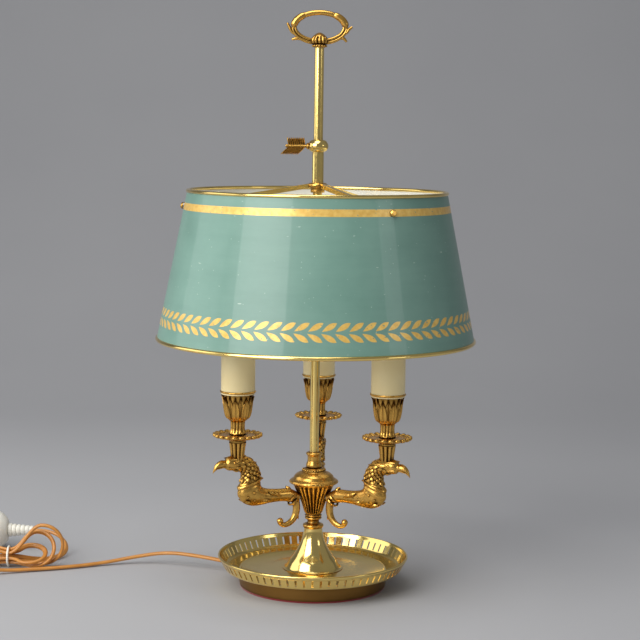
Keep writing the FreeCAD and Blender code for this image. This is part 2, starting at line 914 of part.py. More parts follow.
def make_clamp_collar():
    r = collar_radius
    h = collar_height
    bore = rod_radius + running_gap
    ball = lathe([
        (bore, collar_base), (0.66 * r, collar_base),
        [
            (0.93 * r, collar_base + 0.22 * h), (r, collar_base + 0.5 * h),
            (0.93 * r, collar_base + 0.78 * h), (0.66 * r, collar_base + h),
        ],
        (bore, collar_base + h),
    ])
    hole = Part.makeCylinder(
        arrow_shaft + running_gap, r + 2, V(0, 0, collar_base + h / 2), V(-1, 0, 0),
    )
    return ball.cut(hole)


def make_arrow_screw():
    """A clamp screw whose thumb piece is the feathered end of an arrow."""
    axis = collar_base + collar_height / 2
    tip = rod_radius + running_gap + 0.1
    shaft = Part.makeCylinder(arrow_shaft, arrow_length - tip, V(-tip, 0, axis), V(-1, 0, 0))
    root = collar_radius + 1.6
    vane_parts = []
    for side in (1, -1):
        near = V(-root, 0, axis + side * 0.6)
        lean = V(-vane_lean if side < 0 else -0.8, 0, side * vane_height)
        corners = [near, near + lean]
        pitch = vane_length / barb_count
        for k in range(barb_count):
            edge = near + lean + V(-pitch * (k + 0.5), 0, -side * barb_depth)
            corners.append(edge)
            corners.append(near + lean + V(-pitch * (k + 1), 0, 0))
        corners.append(near + V(-vane_length, 0, 0))
        vane = Part.Face(Part.makePolygon(corners + corners[:1])).extrude(V(0, vane_thick, 0))
        vane_parts.append(moved(vane, 0, -vane_thick / 2, 0))
    return shaft.fuse(vane_parts).removeSplitter()


# Cord: out of the bushing, along the floor to its switch, and from there into the hank

cord_out = V(math.cos(math.radians(cord_angle)), math.sin(math.radians(cord_angle)), 0)
cord_exit_reach = foot_outer(cord_height) + bushing_flange
cord_exit = cord_out * cord_exit_reach + V(0, 0, cord_height)
floor_lift = cord_radius + 0.2
switch_x = -341.0
switch_y = 8.0
waist = V(-276.0, 47.0, tie_ring_radius + tie_ring_bar + 0.3)
plug_face = V(-264.0, 112.0, plug_radius + 0.3)


def cord_run_points():
    return [
        cord_exit,
        cord_exit + cord_out * 17,
        V(-103, 53.5, 10.4),
        V(-134, 64.5, 11.2),
        V(-164, 64.5, 6.2),
        V(-192, 55.5, floor_lift),
        V(-222, 39.5, floor_lift),
        V(-250, 30.5, floor_lift),
        V(-275, 21.5, floor_lift + 0.6),
        V(-290, 13.5, 6.4),
        V(switch_x + switch_length / 2 + 10, switch_y, switch_split),
        V(switch_x + switch_length / 2, switch_y, switch_split),
    ]


def strand_side(index):
    """Which way a loop leans, as an angle about the hank's own axis; loops fan out one by one."""
    leans = [20.0, 60.0, 95.0, 150.0]
    whole = min(int(index), len(leans) - 2)
    return leans[whole] + (leans[whole + 1] - leans[whole]) * (index - whole)


def lobe(side, first, last, reach):
    """The bend at one end of the hank, from one strand round to the next."""
    most = 114.0 if side > 0 else 100.0
    steps = 7 if side > 0 else 6
    bend = lobe_bend + lobe_growth * first
    points = []
    for k in range(steps):
        share = k / (steps - 1)
        turn = math.radians(most * (2 * share - 1)) * side
        lean = math.radians(strand_side(first + (last - first) * share))
        lift = max(2.0, floor_lift - waist.z + bend * math.sin(lean))
        along = side * (reach - bend + bend * math.cos(turn))
        across = bend * math.sin(turn)
        points.append(waist + V(along, across * math.cos(lean), lift + across * math.sin(lean)))
    return points


def through_tie(place, side):
    """The two points of a strand where it passes the tie; places are counted round its ring."""
    angle = math.radians(35 + 360.0 * place / (2 * hank_loops + 1))
    middle = waist + V(0, tie_strand_ring * math.cos(angle), tie_strand_ring * math.sin(angle))
    return [middle + V(-7.0 * side, 0, 0), middle + V(7.0 * side, 0, 0)]


def hank_points():
    """Loops gathered by the tie and fanned out past it, with one last strand that leaves them."""
    points = []
    for loop in range(hank_loops):
        points += through_tie(hank_loops + loop, 1)
        points += lobe(1, loop, loop, hank_right + hank_nesting * loop)
        points += through_tie(loop, -1)
        points += lobe(-1, loop, loop + 1, hank_left + 1.15 * hank_nesting * loop)
    return points + through_tie(2 * hank_loops, 1)


def cord_hank_points():
    """Out of the switch, round into the hank, through its loops, and up to the plug."""
    start = V(switch_x - switch_length / 2, switch_y, switch_split)
    lead_in = [
        start,
        start + V(-12, 0, 0),
        V(-394, 7.4, 4.6),
        V(-406, 11.4, floor_lift),
        V(-411.5, 22.0, floor_lift),
        V(-406, 32.6, floor_lift),
        V(-394, 36.4, floor_lift),
        V(-352, 33.4, floor_lift + 0.4),
        V(-316, 33.0, 4.6),
    ]
    away = [
        V(-257.5, 58.5, 4.6),
        V(-245, 65.5, floor_lift),
        V(-234.5, 76, floor_lift + 0.3),
        V(-229.5, 90, 5.4),
        V(-233, 103.5, 11.0),
        V(-244, 111.0, 16.6),
        plug_face + V(8, 0, 0),
        plug_face,
    ]
    return lead_in + hank_points() + away


def make_cord_bushing():
    """A flanged bushing whose flange follows the foot's slope."""
    inner = foot_outer(cord_height) - foot_wall - 1.0
    body = Part.makeCylinder(bushing_radius, cord_exit_reach - inner, V(inner, 0, cord_height), V(1, 0, 0))
    flange = Part.makeCylinder(
        bushing_flange_radius, 3 * bushing_flange,
        V(cord_exit_reach - 3 * bushing_flange, 0, cord_height), V(1, 0, 0),
    )
    flange = flange.cut(Part.makeCone(
        foot_radius + seat_gap, foot_outer(foot_top) + seat_gap, foot_height, V(0, 0, felt_thick),
    ))
    bore = Part.makeCylinder(lead_radius + 0.1, 10, V(inner - 1, 0, cord_height), V(1, 0, 0))
    bore = bore.common(rod(cord_exit_reach - 1.0, 0, foot_top))
    return turned(body.fuse(flange).cut(bore), cord_angle)


def make_inner_lead():
    """The lead from the bushing to the tie tube, and up the tube into the urn."""
    start = V(foot_outer(cord_height) - foot_wall - 0.9, 0, cord_height)
    end = V(0, 0, arm_height - 5)
    bend = 3.2
    middle = bend * (1 - math.sqrt(0.5))
    before = V(bend, 0, cord_height)
    after = V(0, 0, cord_height + bend)
    edges = [
        Part.LineSegment(start, before).toShape(),
        Part.Arc(before, V(middle, 0, cord_height + middle), after).toShape(),
        Part.LineSegment(after, end).toShape(),
    ]
    section = Part.Wire(Part.makeCircle(lead_radius, start, V(-1, 0, 0)))
    lead = Part.Wire(edges).makePipeShell([section], True, False)
    return turned(lead, cord_angle)


def make_arm_wires():
    wires = []
    for index in range(arm_count):
        wire, _, _ = tube_along(wire_route(tie_bore + 0.6), wire_radius)
        wires.append(turned(wire, arm_angle(index)))
    return Part.makeCompound(wires)


def make_cord_tie():
    return Part.makeTorus(tie_ring_radius, tie_ring_bar, waist, V(1, 0, 0))


def switch_block(bottom, top):
    """The inline switch's outline between two heights: a bar with rounded ends."""
    half = switch_width / 2
    bar = Part.makeBox(switch_length, switch_width, top - bottom, V(-switch_length / 2, -half, bottom))
    vertical = [e for e in bar.Edges if abs(e.tangentAt(e.FirstParameter).z) > 0.9]
    bar = bar.makeFillet(0.7 * half, vertical)
    return moved(bar, switch_x, switch_y, 0)


def make_switch_base():
    return switch_block(0.0, switch_split - 0.05)


def make_switch_cover():
    cover = switch_block(switch_split + 0.05, switch_height)
    window = Part.makeBox(
        rocker_length + 2 * body_gap, rocker_width + 2 * body_gap, switch_height,
        V(switch_x - rocker_length / 2 - body_gap, switch_y - rocker_width / 2 - body_gap, switch_split),
    )
    return cover.cut(window)


def make_switch_rocker():
    """A rocker that turns on a pin across the switch; at rest one end is down."""
    r = rocker_length / 2 - 1.2
    body = Part.makeCylinder(
        r, rocker_width, V(switch_x, switch_y + rocker_width / 2, rocker_pivot()), V(0, -1, 0),
    )
    keep = Part.makeBox(
        rocker_length * 0.84, rocker_width, switch_height,
        V(switch_x - rocker_length * 0.42, switch_y - rocker_width / 2, switch_split + 1.2),
    )
    return body.common(keep)


def rocker_pivot():
    return switch_height + rocker_rise - (rocker_length / 2 - 1.2)


def make_plug_relief():
    base = plug_face + V(-relief_length, 0, 0)
    return Part.makeCone(relief_radius, relief_tip_radius, relief_length, base, V(1, 0, 0))


def make_plug_body():
    start = plug_face + V(-relief_length, 0, 0)
    body = lathe([
        (0, 0), (relief_radius + 3, 0), (plug_radius - 3, 5), (plug_radius, 11),
        (plug_radius, plug_length), (0, plug_length),
    ])
    body = turned(body, -90, V(0, 0, 0), V(0, 1, 0))
    return moved(body, start.x, start.y, start.z)


def make_plug_pins():
    face = plug_face + V(-relief_length - plug_length, 0, 0)
    pins = []
    for side in (1, -1):
        root = face + V(0, side * pin_spacing / 2, 0)
        pins.append(Part.makeCylinder(pin_radius, pin_length, root, V(-1, 0, 0)))
    return Part.makeCompound(pins)


def make_all():
    made = {
        "felt_pad": make_felt_pad(),
        "base_plinth": make_base_plinth(),
        "base_weight": make_base_weight(),
        "tie_nut": make_tie_nut(),
        "tie_tube": make_tie_tube(),
        "tray_dish": make_tray_dish(),
        "pedestal_cone": make_pedestal_cone(),
        "knop": make_knop(),
        "urn_body": make_urn_body(),
        "urn_lid": make_urn_lid(),
        "stem_collar": make_stem_collar(),
        "centre_rod": make_centre_rod(),
        "finial_washer": make_finial_washer(),
        "ring_handle": make_ring_handle(),
        "shade_shell": make_shade_shell(),
        "shade_top_rim": make_shade_top_rim(),
        "shade_bottom_rim": make_shade_bottom_rim(),
        "shade_screws": make_shade_screws(),
        "sleeve_tube": make_sleeve_tube(),
        "spider_hub": make_spider_hub(),
        "spider_arms": make_spider_arms(),
        "clamp_collar": make_clamp_collar(),
        "arrow_screw": make_arrow_screw(),
        "cord_bushing": make_cord_bushing(),
        "inner_lead": make_inner_lead(),
        "arm_wires": make_arm_wires(),
        "cord_tie": make_cord_tie(),
        "switch_base": make_switch_base(),
        "switch_cover": make_switch_cover(),
        "switch_rocker": make_switch_rocker(),
        "plug_body": make_plug_body(),
        "plug_pins": make_plug_pins(),
        "plug_relief": make_plug_relief(),
    }
    repeated = {
        "drip_pan": make_drip_pan(),
        "candle_cup": make_candle_cup(),
        "candle_sleeve": make_candle_sleeve(),
        "lamp_holder": make_lamp_holder(),
        "bulb_cap": make_bulb_cap(),
        "bulb_glass": make_bulb_glass(),
    }
    bird_arm = make_bird_arm()
    scroll = make_arm_scroll()
    for index, name in enumerate(ARM_NAMES):
        made["bird_arm_" + name] = turned(bird_arm, arm_angle(index))
        made["arm_scroll_" + name] = turned(scroll, arm_angle(index))
        for piece, shape in repeated.items():
            made[piece + "_" + name] = at_candle(shape, index)
    nipple = make_arm_nipple()
    made["arm_nipples"] = Part.makeCompound([at_candle(nipple, k) for k in range(arm_count)])
    for name, points in (("cord_run", cord_run_points()), ("cord_hank", cord_hank_points())):
        solid, path, radii = tube_along(points, cord_radius)
        check_tube(name, solid, path, radii, cord_radius)
        made[name] = solid
        if name == "cord_hank":
            print("least gap of the hank to itself", round(gap_to_itself(path, cord_radius), 2))
    return made


os.makedirs("parts", exist_ok=True)
for node, shape in make_all().items():
    if not shape.isValid():
        print("not valid:", node)
    shape.exportStep("parts/" + node + ".step")
    print(node, "solids", len(shape.Solids), "volume", round(shape.Volume, 1))
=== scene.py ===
# %% [markdown]
# # A three-candle bouillotte lamp
# The imported CAD model is the frame that everything here is built around. Each body in it moves as
# one, so every piece made below rides on one of those bodies.

import math

import bpy
from mathutils import Matrix, Vector


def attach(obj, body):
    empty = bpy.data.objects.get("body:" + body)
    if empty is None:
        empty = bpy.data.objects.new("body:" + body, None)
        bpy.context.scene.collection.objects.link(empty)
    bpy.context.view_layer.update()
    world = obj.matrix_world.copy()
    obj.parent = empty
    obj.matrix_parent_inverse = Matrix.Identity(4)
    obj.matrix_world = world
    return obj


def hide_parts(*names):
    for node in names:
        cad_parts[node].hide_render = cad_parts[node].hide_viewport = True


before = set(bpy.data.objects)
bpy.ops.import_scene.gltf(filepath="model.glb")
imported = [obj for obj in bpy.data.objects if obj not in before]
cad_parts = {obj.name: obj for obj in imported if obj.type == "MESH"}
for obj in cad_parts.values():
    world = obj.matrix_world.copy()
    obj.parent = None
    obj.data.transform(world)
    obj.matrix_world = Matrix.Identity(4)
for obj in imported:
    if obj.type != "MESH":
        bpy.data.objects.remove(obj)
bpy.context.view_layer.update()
MM = 0.001
ARMS = ("rear", "left", "right")

# %% [markdown]
# ## The camera
# The photograph was taken from a little above the shade with a long lens, so the tray shows as a
# narrow ellipse and the shade's top as another. A camera is described best by three axes: where it
# looks, what is to its right, and what is up. A slight roll leans the lamp to the right.

# %% Camera
eye = Vector((0, -1.4934, 0.3976))
pitch, yaw, roll = 0.1089, 0.0024, 0.0135
forward = Vector((math.cos(pitch) * math.sin(yaw), math.cos(pitch) * math.cos(yaw), -math.sin(pitch)))
level_right = Vector((math.cos(yaw), -math.sin(yaw), 0))
level_up = level_right.cross(forward)
right = level_right * math.cos(roll) + level_up * math.sin(roll)
up = level_up * math.cos(roll) - level_right * math.sin(roll)

camera_data = bpy.data.cameras.new("camera")
camera_data.sensor_width = 36
camera_data.lens = 97.42
camera = bpy.data.objects.new("camera", camera_data)
bpy.context.collection.objects.link(camera)
camera.matrix_world = Matrix((
    (right.x, up.x, -forward.x, eye.x),
    (right.y, up.y, -forward.y, eye.y),
    (right.z, up.z, -forward.z, eye.z),
    (0, 0, 0, 1),
))
bpy.context.scene.camera = camera
print("camera at", [round(c, 3) for c in eye])

# %% [markdown]
# ## Arithmetic for shaders
# A finish is a recipe of small sums: how dark is this spot, how rough is that one. Written as nodes
# by hand such sums are long, so a socket is wrapped in a class whose operators add the Math nodes.
# One more class holds a material and adds any other node by its type.

# %% Shader helpers
class Value:
    """A node's output that takes part in Python sums; each operator adds one Math node."""

    def __init__(self, finish, socket):
        self.finish = finish
        self.socket = socket

    def __add__(self, other):
        return self.finish.sum("ADD", self, other)

    def __sub__(self, other):
        return self.finish.sum("SUBTRACT", self, other)

    def __rsub__(self, other):
        return self.finish.sum("SUBTRACT", other, self)

    def __mul__(self, other):
        return self.finish.sum("MULTIPLY", self, other)

    def __truediv__(self, other):
        return self.finish.sum("DIVIDE", self, other)

    def __lt__(self, other):
        return self.finish.sum("LESS_THAN", self, other)

    def __gt__(self, other):
        return self.finish.sum("GREATER_THAN", self, other)

    def __abs__(self):
        return self.finish.sum("ABSOLUTE", self)

    __radd__ = __add__
    __rmul__ = __mul__


class Finish:
    """A material with one Principled shader, and ways to add nodes to it."""

    def __init__(self, name, **constants):
        self.material = bpy.data.materials.new(name)
        self.material.use_nodes = True
        self.tree = self.material.node_tree
        self.shader = self.tree.nodes["Principled BSDF"]
        self.set(**constants)
        place = self.tree.nodes.new("ShaderNodeTexCoord")
        self.place = place.outputs["Object"]
        split = self.tree.nodes.new("ShaderNodeSeparateXYZ")
        self.tree.links.new(self.place, split.inputs[0])
        self.x, self.y, self.z = (Value(self, out) for out in split.outputs)

    def join(self, item, socket):
        """Links a value to a socket, or sets the socket where the item is a plain number or colour."""
        item = item.socket if isinstance(item, Value) else item
        if isinstance(item, bpy.types.NodeSocket):
            self.tree.links.new(item, socket)
        else:
            socket.default_value = item

    def set(self, **sockets):
        """Sets or links the Principled shader's sockets; a name's underscores stand for spaces."""
        for name, item in sockets.items():
            self.join(item, self.shader.inputs[name.replace("_", " ")])
        return self

    def add(self, kind, settings=None, out=0, **sockets):
        """Adds one node: its settings first, then its sockets, found by identifier or name."""
        node = self.tree.nodes.new(kind)
        for name, setting in (settings or {}).items():
            setattr(node, name, setting)
        for name, item in sockets.items():
            wanted = name.replace("_", " ")
            found = [s for s in node.inputs if s.identifier in (name, wanted)]
            found = found or [s for s in node.inputs if s.name == wanted]
            self.join(item, found[0])
        return Value(self, node.outputs[out])

    def sum(self, operation, *items):
        node = self.tree.nodes.new("ShaderNodeMath")
        node.operation = operation
        for item, socket in zip(items, node.inputs):
            self.join(item, socket)
        return Value(self, node.outputs[0])

    def clamp(self, item, low=0.0, high=1.0):
        return self.add("ShaderNodeClamp", Value=item, Min=low, Max=high)

    def noise(self, scale, detail=3.0, roughness=0.5, vector=None):
        where = self.place if vector is None else vector
        return self.add("ShaderNodeTexNoise", Scale=scale, Detail=detail, Roughness=roughness, Vector=where)

    def stretched(self, x, y, z):
        """Object coordinates with each axis stretched on its own."""
        return self.add("ShaderNodeMapping", Vector=self.place, Scale=(x, y, z))

    def blend(self, factor, first, second):
        """A colour between two, at a factor from 0 to 1."""
        sockets = {"Factor_Float": factor, "A_Color": first, "B_Color": second}
        return self.add("ShaderNodeMix", {"data_type": "RGBA"}, out=2, **sockets)

    def bump(self, height, strength=0.3, distance=0.0002):
        normal = self.add("ShaderNodeBump", Strength=strength, Distance=distance, Height=height)
        return self.set(Normal=normal)

    def crevice(self, reach=0.004):
        """1 in the depths of a relief and 0 on its open faces."""
        open_sky = self.add("ShaderNodeAmbientOcclusion", {"samples": 6}, out=1, Distance=reach)
        return self.clamp((1.0 - open_sky) * 1.6)


def colour(red, green, blue):
    """A linear colour from the 0 to 255 values that a picture shows."""
    def linear(part):
        part = part / 255
        return part / 12.92 if part <= 0.04045 else ((part + 0.055) / 1.055) ** 2.4
    return (linear(red), linear(green), linear(blue), 1.0)


# %% [markdown]
# ## Gilt brass
# Nearly all of the lamp is cast or spun brass. Open faces are bright, and a brown patina stays in
# the depths where no cloth reaches. Ambient occlusion finds those depths. The castings have more
# patina than the spun parts. The foot ring is rougher, and its colours are painted darker as painted
# shade, for the shadow under the tray's rim.

# %% Brass finishes
def brass(name, light, dark, rough, grain=900.0, patina=0.75):
    finish = Finish(name, Metallic=1.0)
    cloud = finish.noise(38.0, 4.0, 0.6)
    depth = finish.crevice()
    shade = finish.clamp(depth * patina + (cloud - 0.45) * 0.5)
    finish.set(
        Base_Color=finish.blend(shade, light, dark),
        Roughness=finish.clamp(rough + shade * 0.22 + (finish.noise(260.0) - 0.5) * 0.12, 0.05, 0.8),
    )
    finish.bump(finish.noise(grain, 2.0), 0.12, 0.00006)
    return finish.material


cast_brass = brass("cast brass", colour(226, 176, 88), colour(70, 38, 12), 0.26, 900.0, 1.5)
spun_brass = brass("spun brass", colour(250, 219, 134), colour(150, 100, 40), 0.13, 500.0, 0.5)
rod_brass = brass("drawn brass", colour(250, 219, 134), colour(132, 86, 34), 0.16, 1400.0, 0.6)
# The foot ring's light and dark colours are painted darker than the brass: painted shade, for the shadow
# under the tray's rim.
shaded_foot_brass = brass("dull brass", colour(150, 112, 58), colour(50, 32, 14), 0.4, 900.0, 0.9)
print("brass finishes:", [m.name for m in (cast_brass, spun_brass, rod_brass, shaded_foot_brass)])

# %% [markdown]
# ## Painted tole
# The shade is sheet metal, painted by hand: green enamel with smudges and small pale marks, a gold
# line round its top, and two rows of laurel leaves round its foot. The leaves are drawn in the shader,
# from the angle round the lamp and the height, so that they lie in the paint. A leaf is a lens: two
# arcs that meet in points, a little wider towards one end.

# %% Shade paint
SHADE_TOP, SHADE_BOTTOM, SHADE_TOP_R, SHADE_BOTTOM_R = 345.2, 218.2, 111.9, 137.4
SHADE_SLOPE = (SHADE_BOTTOM_R - SHADE_TOP_R) / (SHADE_TOP - SHADE_BOTTOM)
LEAF_COUNT, LEAF_HALF_LONG, LEAF_HALF_WIDE, LEAF_RING_R = 76, 7.0, 2.2, 135.0
STRIPE_HEIGHT, STRIPE_HALF = 332.4, 3.0


def leaf_row(finish, angle, height, centre, lean, offset):
    """1 on the leaves of one row. Each leaf's own cell and its neighbour's are tested, as they overlap."""
    mask = None
    for shift in (-0.5, 0.5):
        cell = finish.sum("FRACT", angle * LEAF_COUNT + offset)
        along = (cell - 0.5 + shift) * (2 * math.pi * LEAF_RING_R / LEAF_COUNT)
        rise = height - centre
        turned_along = along * math.cos(lean) + rise * math.sin(lean)
        turned_across = rise * math.cos(lean) - along * math.sin(lean)
        share = turned_along / LEAF_HALF_LONG
        half_width = (1.0 - share * share) * (LEAF_HALF_WIDE + share * 0.7)
        inside = ((half_width - abs(turned_across)) > 0.0) * (abs(share) < 1.0)
        mask = inside if mask is None else finish.sum("MAXIMUM", mask, inside)
    return mask


def tole_green():
    finish = Finish("tole green", Coat_Weight=0.25)
    across = finish.sum("ARCTAN2", finish.y, finish.x) / (2 * math.pi)
    height = finish.z * 1000.0
    strokes = finish.noise(5.0, 5.0, 0.65, finish.stretched(2, 2, 16))
    cloud = finish.noise(14.0, 4.0, 0.65)
    green = finish.blend(
        finish.clamp(strokes * 0.8 + cloud * 1.4 - 0.65), colour(102, 140, 127), colour(122, 158, 145),
    )
    smudge = finish.clamp(finish.noise(9.0, 3.0) * 5.0 - 3.1) * 0.6
    green = finish.blend(smudge, green, colour(84, 118, 106))
    dust = finish.add("ShaderNodeTexVoronoi", Vector=finish.place, Scale=190.0) < 0.075
    sparse = finish.noise(60.0, 2.0) > 0.52
    scratch = finish.noise(5.0, 2.0, 0.5, finish.stretched(22, 22, 90)) > 0.76
    marks = finish.sum("MAXIMUM", dust * sparse, scratch) * 0.6
    green = finish.blend(marks, green, colour(196, 212, 200))
    gold = finish.blend(
        finish.clamp(finish.noise(260.0, 3.0) * 1.4 - 0.2), colour(216, 166, 72), colour(250, 212, 120),
    )
    line = abs(height - STRIPE_HEIGHT) < STRIPE_HALF
    upper = leaf_row(finish, across, height, 242.8, 0.5, 0.0)
    lower = leaf_row(finish, across, height, 234.4, -0.5, 0.06)
    rub = finish.noise(420.0, 2.0) > 0.3
    mask = finish.sum("MAXIMUM", finish.sum("MAXIMUM", upper, lower), line) * rub
    finish.set(
        Base_Color=finish.blend(mask, green, gold),
        Metallic=mask * 0.25,
        Roughness=finish.clamp(0.44 + (cloud - 0.5) * 0.3 - mask * 0.06),
    )
    finish.bump(strokes * 0.6 + mask * 0.5, 0.12, 0.00012)
    return finish.material


def tole_white():
    finish = Finish("tole white")
    cloud = finish.noise(30.0, 4.0)
    finish.set(
        Base_Color=finish.blend(cloud, colour(250, 250, 242), colour(238, 236, 222)),
        Roughness=0.45 + (cloud - 0.5) * 0.2,
    )
    finish.bump(finish.noise(500.0), 0.1, 0.0001)
    return finish.material


green_paint = tole_green()
white_paint = tole_white()
print("leaves in a row:", LEAF_COUNT)

# %% [markdown]
# ## Plastics, felt, glass and plain metals
# The candle tubes are yellowed ivory plastic. The cord is gold-coloured and glossy, the plug and the
# tie are white. Felt is many short fibres, so it is rough, with a soft sheen.

# %% Other finishes
def plastic(name, light, dark, rough, scale=120.0, **constants):
    finish = Finish(name, **constants)
    cloud = finish.noise(scale, 3.0)
    finish.set(
        Base_Color=finish.blend(cloud, light, dark),
        Roughness=finish.clamp(rough + (finish.noise(scale * 4) - 0.5) * 0.16),
    )
    finish.bump(finish.noise(scale * 9, 2.0), 0.08, 0.00008)
    return finish.material


ivory = plastic("ivory tube", colour(246, 232, 184), colour(232, 208, 148), 0.4, 30.0, Coat_Weight=0.15)
gold_cord = plastic("gold cord", colour(214, 150, 70), colour(178, 112, 42), 0.36, 90.0, Coat_Weight=0.2)
white_plastic = plastic("white plastic", colour(244, 242, 234), colour(228, 224, 210), 0.35)
black_plastic = plastic("black plastic", colour(34, 32, 30), colour(20, 20, 20), 0.5)
steel = plastic("zinc plate", colour(190, 190, 188), colour(150, 150, 150), 0.3, 200.0, Metallic=1.0)
cap_metal = plastic("rolled cap", colour(206, 206, 204), colour(170, 170, 170), 0.28, 200.0, Metallic=1.0)
iron = plastic("painted iron", colour(44, 42, 42), colour(26, 26, 26), 0.6, 200.0)
wire_plastic = plastic("wire plastic", colour(196, 190, 176), colour(160, 156, 146), 0.5, 200.0)


def felt():
    finish = Finish("red felt", Sheen_Weight=0.6, Sheen_Roughness=0.5)
    fibre = finish.noise(1800.0, 4.0, 0.7)
    red = finish.blend(fibre, colour(150, 28, 30), colour(92, 12, 16))
    finish.set(Base_Color=red, Roughness=0.8 + fibre * 0.2)
    finish.bump(fibre, 0.6, 0.0004)
    return finish.material


def lamp_glass():
    finish = Finish("frosted lamp glass", Transmission_Weight=0.35, IOR=1.45)
    cloud = finish.noise(90.0)
    finish.set(
        Base_Color=finish.blend(cloud, colour(250, 250, 246), colour(240, 238, 230)),
        Roughness=0.25 + cloud * 0.1,
    )
    return finish.material


red_felt = felt()
bulb_glass = lamp_glass()
print("finishes:", len(bpy.data.materials))


# %% [markdown]
# ## Building in rings
# Most pieces of the lamp are round, so one helper turns an outline about an axis, and a ripple along
# the way round gives it flutes, gadroons or scallops. Outlines are written in millimetres, and a
# smooth curve through a few points gives the rest. Each mesh is made in its final place.

# %% Mesh helpers
def flow(points, steps=6):
    """A smooth line through points, by Catmull-Rom pieces."""
    points = [tuple(p) for p in points]
    ends = [points[0]] + points + [points[-1]]
    line = []
    for a, b, c, d in zip(ends, ends[1:], ends[2:], ends[3:]):
        for k in range(steps):
            t = k / steps
            line.append(tuple(
                0.5 * (2 * q + (r - p) * t + (2 * p - 5 * q + 4 * r - s) * t * t
                       + (3 * q - p - 3 * r + s) * t ** 3)
                for p, q, r, s in zip(a, b, c, d)
            ))
    line.append(points[-1])
    return line


def new_piece(name, points, faces, material, body, stands_for=(), slot=None, sharp=40.0):
    """A mesh object from points in millimetres, smooth up to a sharp angle, riding on a body.

    It takes the place of the CAD nodes that it stands for. Its slot argument is not used.
    """
    mesh = bpy.data.meshes.new(name)
    mesh.from_pydata([Vector(p) * MM for p in points], [], faces)
    mesh.validate()
    piece = bpy.data.objects.new(name, mesh)
    bpy.context.collection.objects.link(piece)
    mesh.materials.append(material)
    mesh.polygons.foreach_set("use_smooth", [True] * len(mesh.polygons))
    mesh.set_sharp_from_angle(angle=math.radians(sharp))
    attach(piece, body)
    if stands_for:
        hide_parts(*stands_for)
    return piece


def skin(rows, shut_start=True, shut_end=True):
    """Points and faces of a tube through rows of points; a row of equal points makes a pole."""
    count = len(rows[0])
    points = [p for row in rows for p in row]
    faces = []
    for i in range(len(rows) - 1):
        for j in range(count):
            k = (j + 1) % count
            faces.append((i * count + j, i * count + k, (i + 1) * count + k, (i + 1) * count + j))
    if shut_start:
        faces.append(tuple(reversed(range(count))))
    if shut_end:
        last = (len(rows) - 1) * count
        faces.append(tuple(range(last, last + count)))
    return points, faces


def turn_rows(outline, segments, ripple=None):
    """Rows of points of an outline turned about Z; ripple(angle, k) is added to each radius."""
    rows = []
    for k, (radius, height) in enumerate(outline):
        row = []
        for j in range(segments):
            angle = 2 * math.pi * j / segments
            reach = max(0.02, radius + (ripple(angle, k / (len(outline) - 1)) if ripple else 0.0))
            row.append((reach * math.cos(angle), reach * math.sin(angle), height))
        rows.append(row)
    return rows


def placed(points, x=0.0, degrees=0.0):
    """Points moved along X and then turned about Z."""
    c, s = math.cos(math.radians(degrees)), math.sin(math.radians(degrees))
    return [((p[0] + x) * c - p[1] * s, (p[0] + x) * s + p[1] * c, p[2]) for p in points]


def lathe(
    name, outline, material, body, stands_for=(), segments=96, ripple=None, slot="gilt_brass", at=None,
):
    """A turned piece. An outline that comes back to its first point makes a hollow one."""
    hollow = outline[0] == outline[-1]
    rows = turn_rows(outline, segments, ripple)
    points, faces = skin(rows, not hollow, not hollow)
    if at is not None:
        points = placed(points, ARM_REACH, at)
    return new_piece(name, points, faces, material, body, stands_for, slot)


ARM_REACH = 73.7
ARM_TURN = {"rear": 87.3, "left": 207.3, "right": 327.3}

# %% [markdown]
# ## The cord's line
# A cord is a fixed length of something limp. Its line is a NURBS curve whose control points are the
# route's, so it is smooth everywhere. Out of its bushing it drops behind the tray to the ground and
# runs to an inline switch. The rest is folded into a hank, held by a white ring, and ends in a plug.

# %% Routes
CORD_ANGLE = math.radians(152.0)
FLOOR_LIFT = 2.3
SWITCH_X, SWITCH_Y, SWITCH_HALF, SWITCH_SPLIT = -341.0, 8.0, 29.0, 10.0
TIE_RING, TIE_BAR = 8.65, 1.0
WAIST = Vector((-276.0, 47.0, 9.95))
PLUG_FACE = Vector((-264.0, 112.0, 18.8))
LOOPS, HANK_RIGHT, HANK_LEFT, NESTING = 3, 34.0, 60.0, 8.0
cord_out = Vector((math.cos(CORD_ANGLE), math.sin(CORD_ANGLE), 0))
cord_exit = cord_out * (64 + 2 * 7 / 12.3 + 1.4) + Vector((0, 0, 8.5))

run_points = [
    cord_exit,
    cord_exit + cord_out * 17,
    Vector((-103, 53.5, 10.4)),
    Vector((-134, 64.5, 11.2)),
    Vector((-164, 64.5, 6.2)),
    Vector((-192, 55.5, FLOOR_LIFT)),
    Vector((-222, 39.5, FLOOR_LIFT)),
    Vector((-250, 30.5, FLOOR_LIFT)),
    Vector((-275, 21.5, FLOOR_LIFT + 0.6)),
    Vector((-290, 13.5, 6.4)),
    Vector((SWITCH_X + SWITCH_HALF + 10, SWITCH_Y, SWITCH_SPLIT)),
    Vector((SWITCH_X + SWITCH_HALF, SWITCH_Y, SWITCH_SPLIT)),
]


def strand_side(index):
    """Which way a loop leans, as an angle about the hank's own axis; loops fan out one by one."""
    leans = [20.0, 60.0, 95.0, 150.0]
    whole = min(int(index), len(leans) - 2)
    return leans[whole] + (leans[whole + 1] - leans[whole]) * (index - whole)


def lobe(side, first, last, reach):
    """The bend at one end of the hank, from one strand round to the next."""
    most = 114.0 if side > 0 else 100.0
    steps = 7 if side > 0 else 6
    bend = 15.0 + 2.0 * first
    points = []
    for k in range(steps):
        share = k / (steps - 1)
        turn = math.radians(most * (2 * share - 1)) * side
        lean = math.radians(strand_side(first + (last - first) * share))
        lift = max(2.0, FLOOR_LIFT - WAIST.z + bend * math.sin(lean))
        along = side * (reach - bend + bend * math.cos(turn))
        across = bend * math.sin(turn)
        points.append(WAIST + Vector((along, across * math.cos(lean), lift + across * math.sin(lean))))
    return points


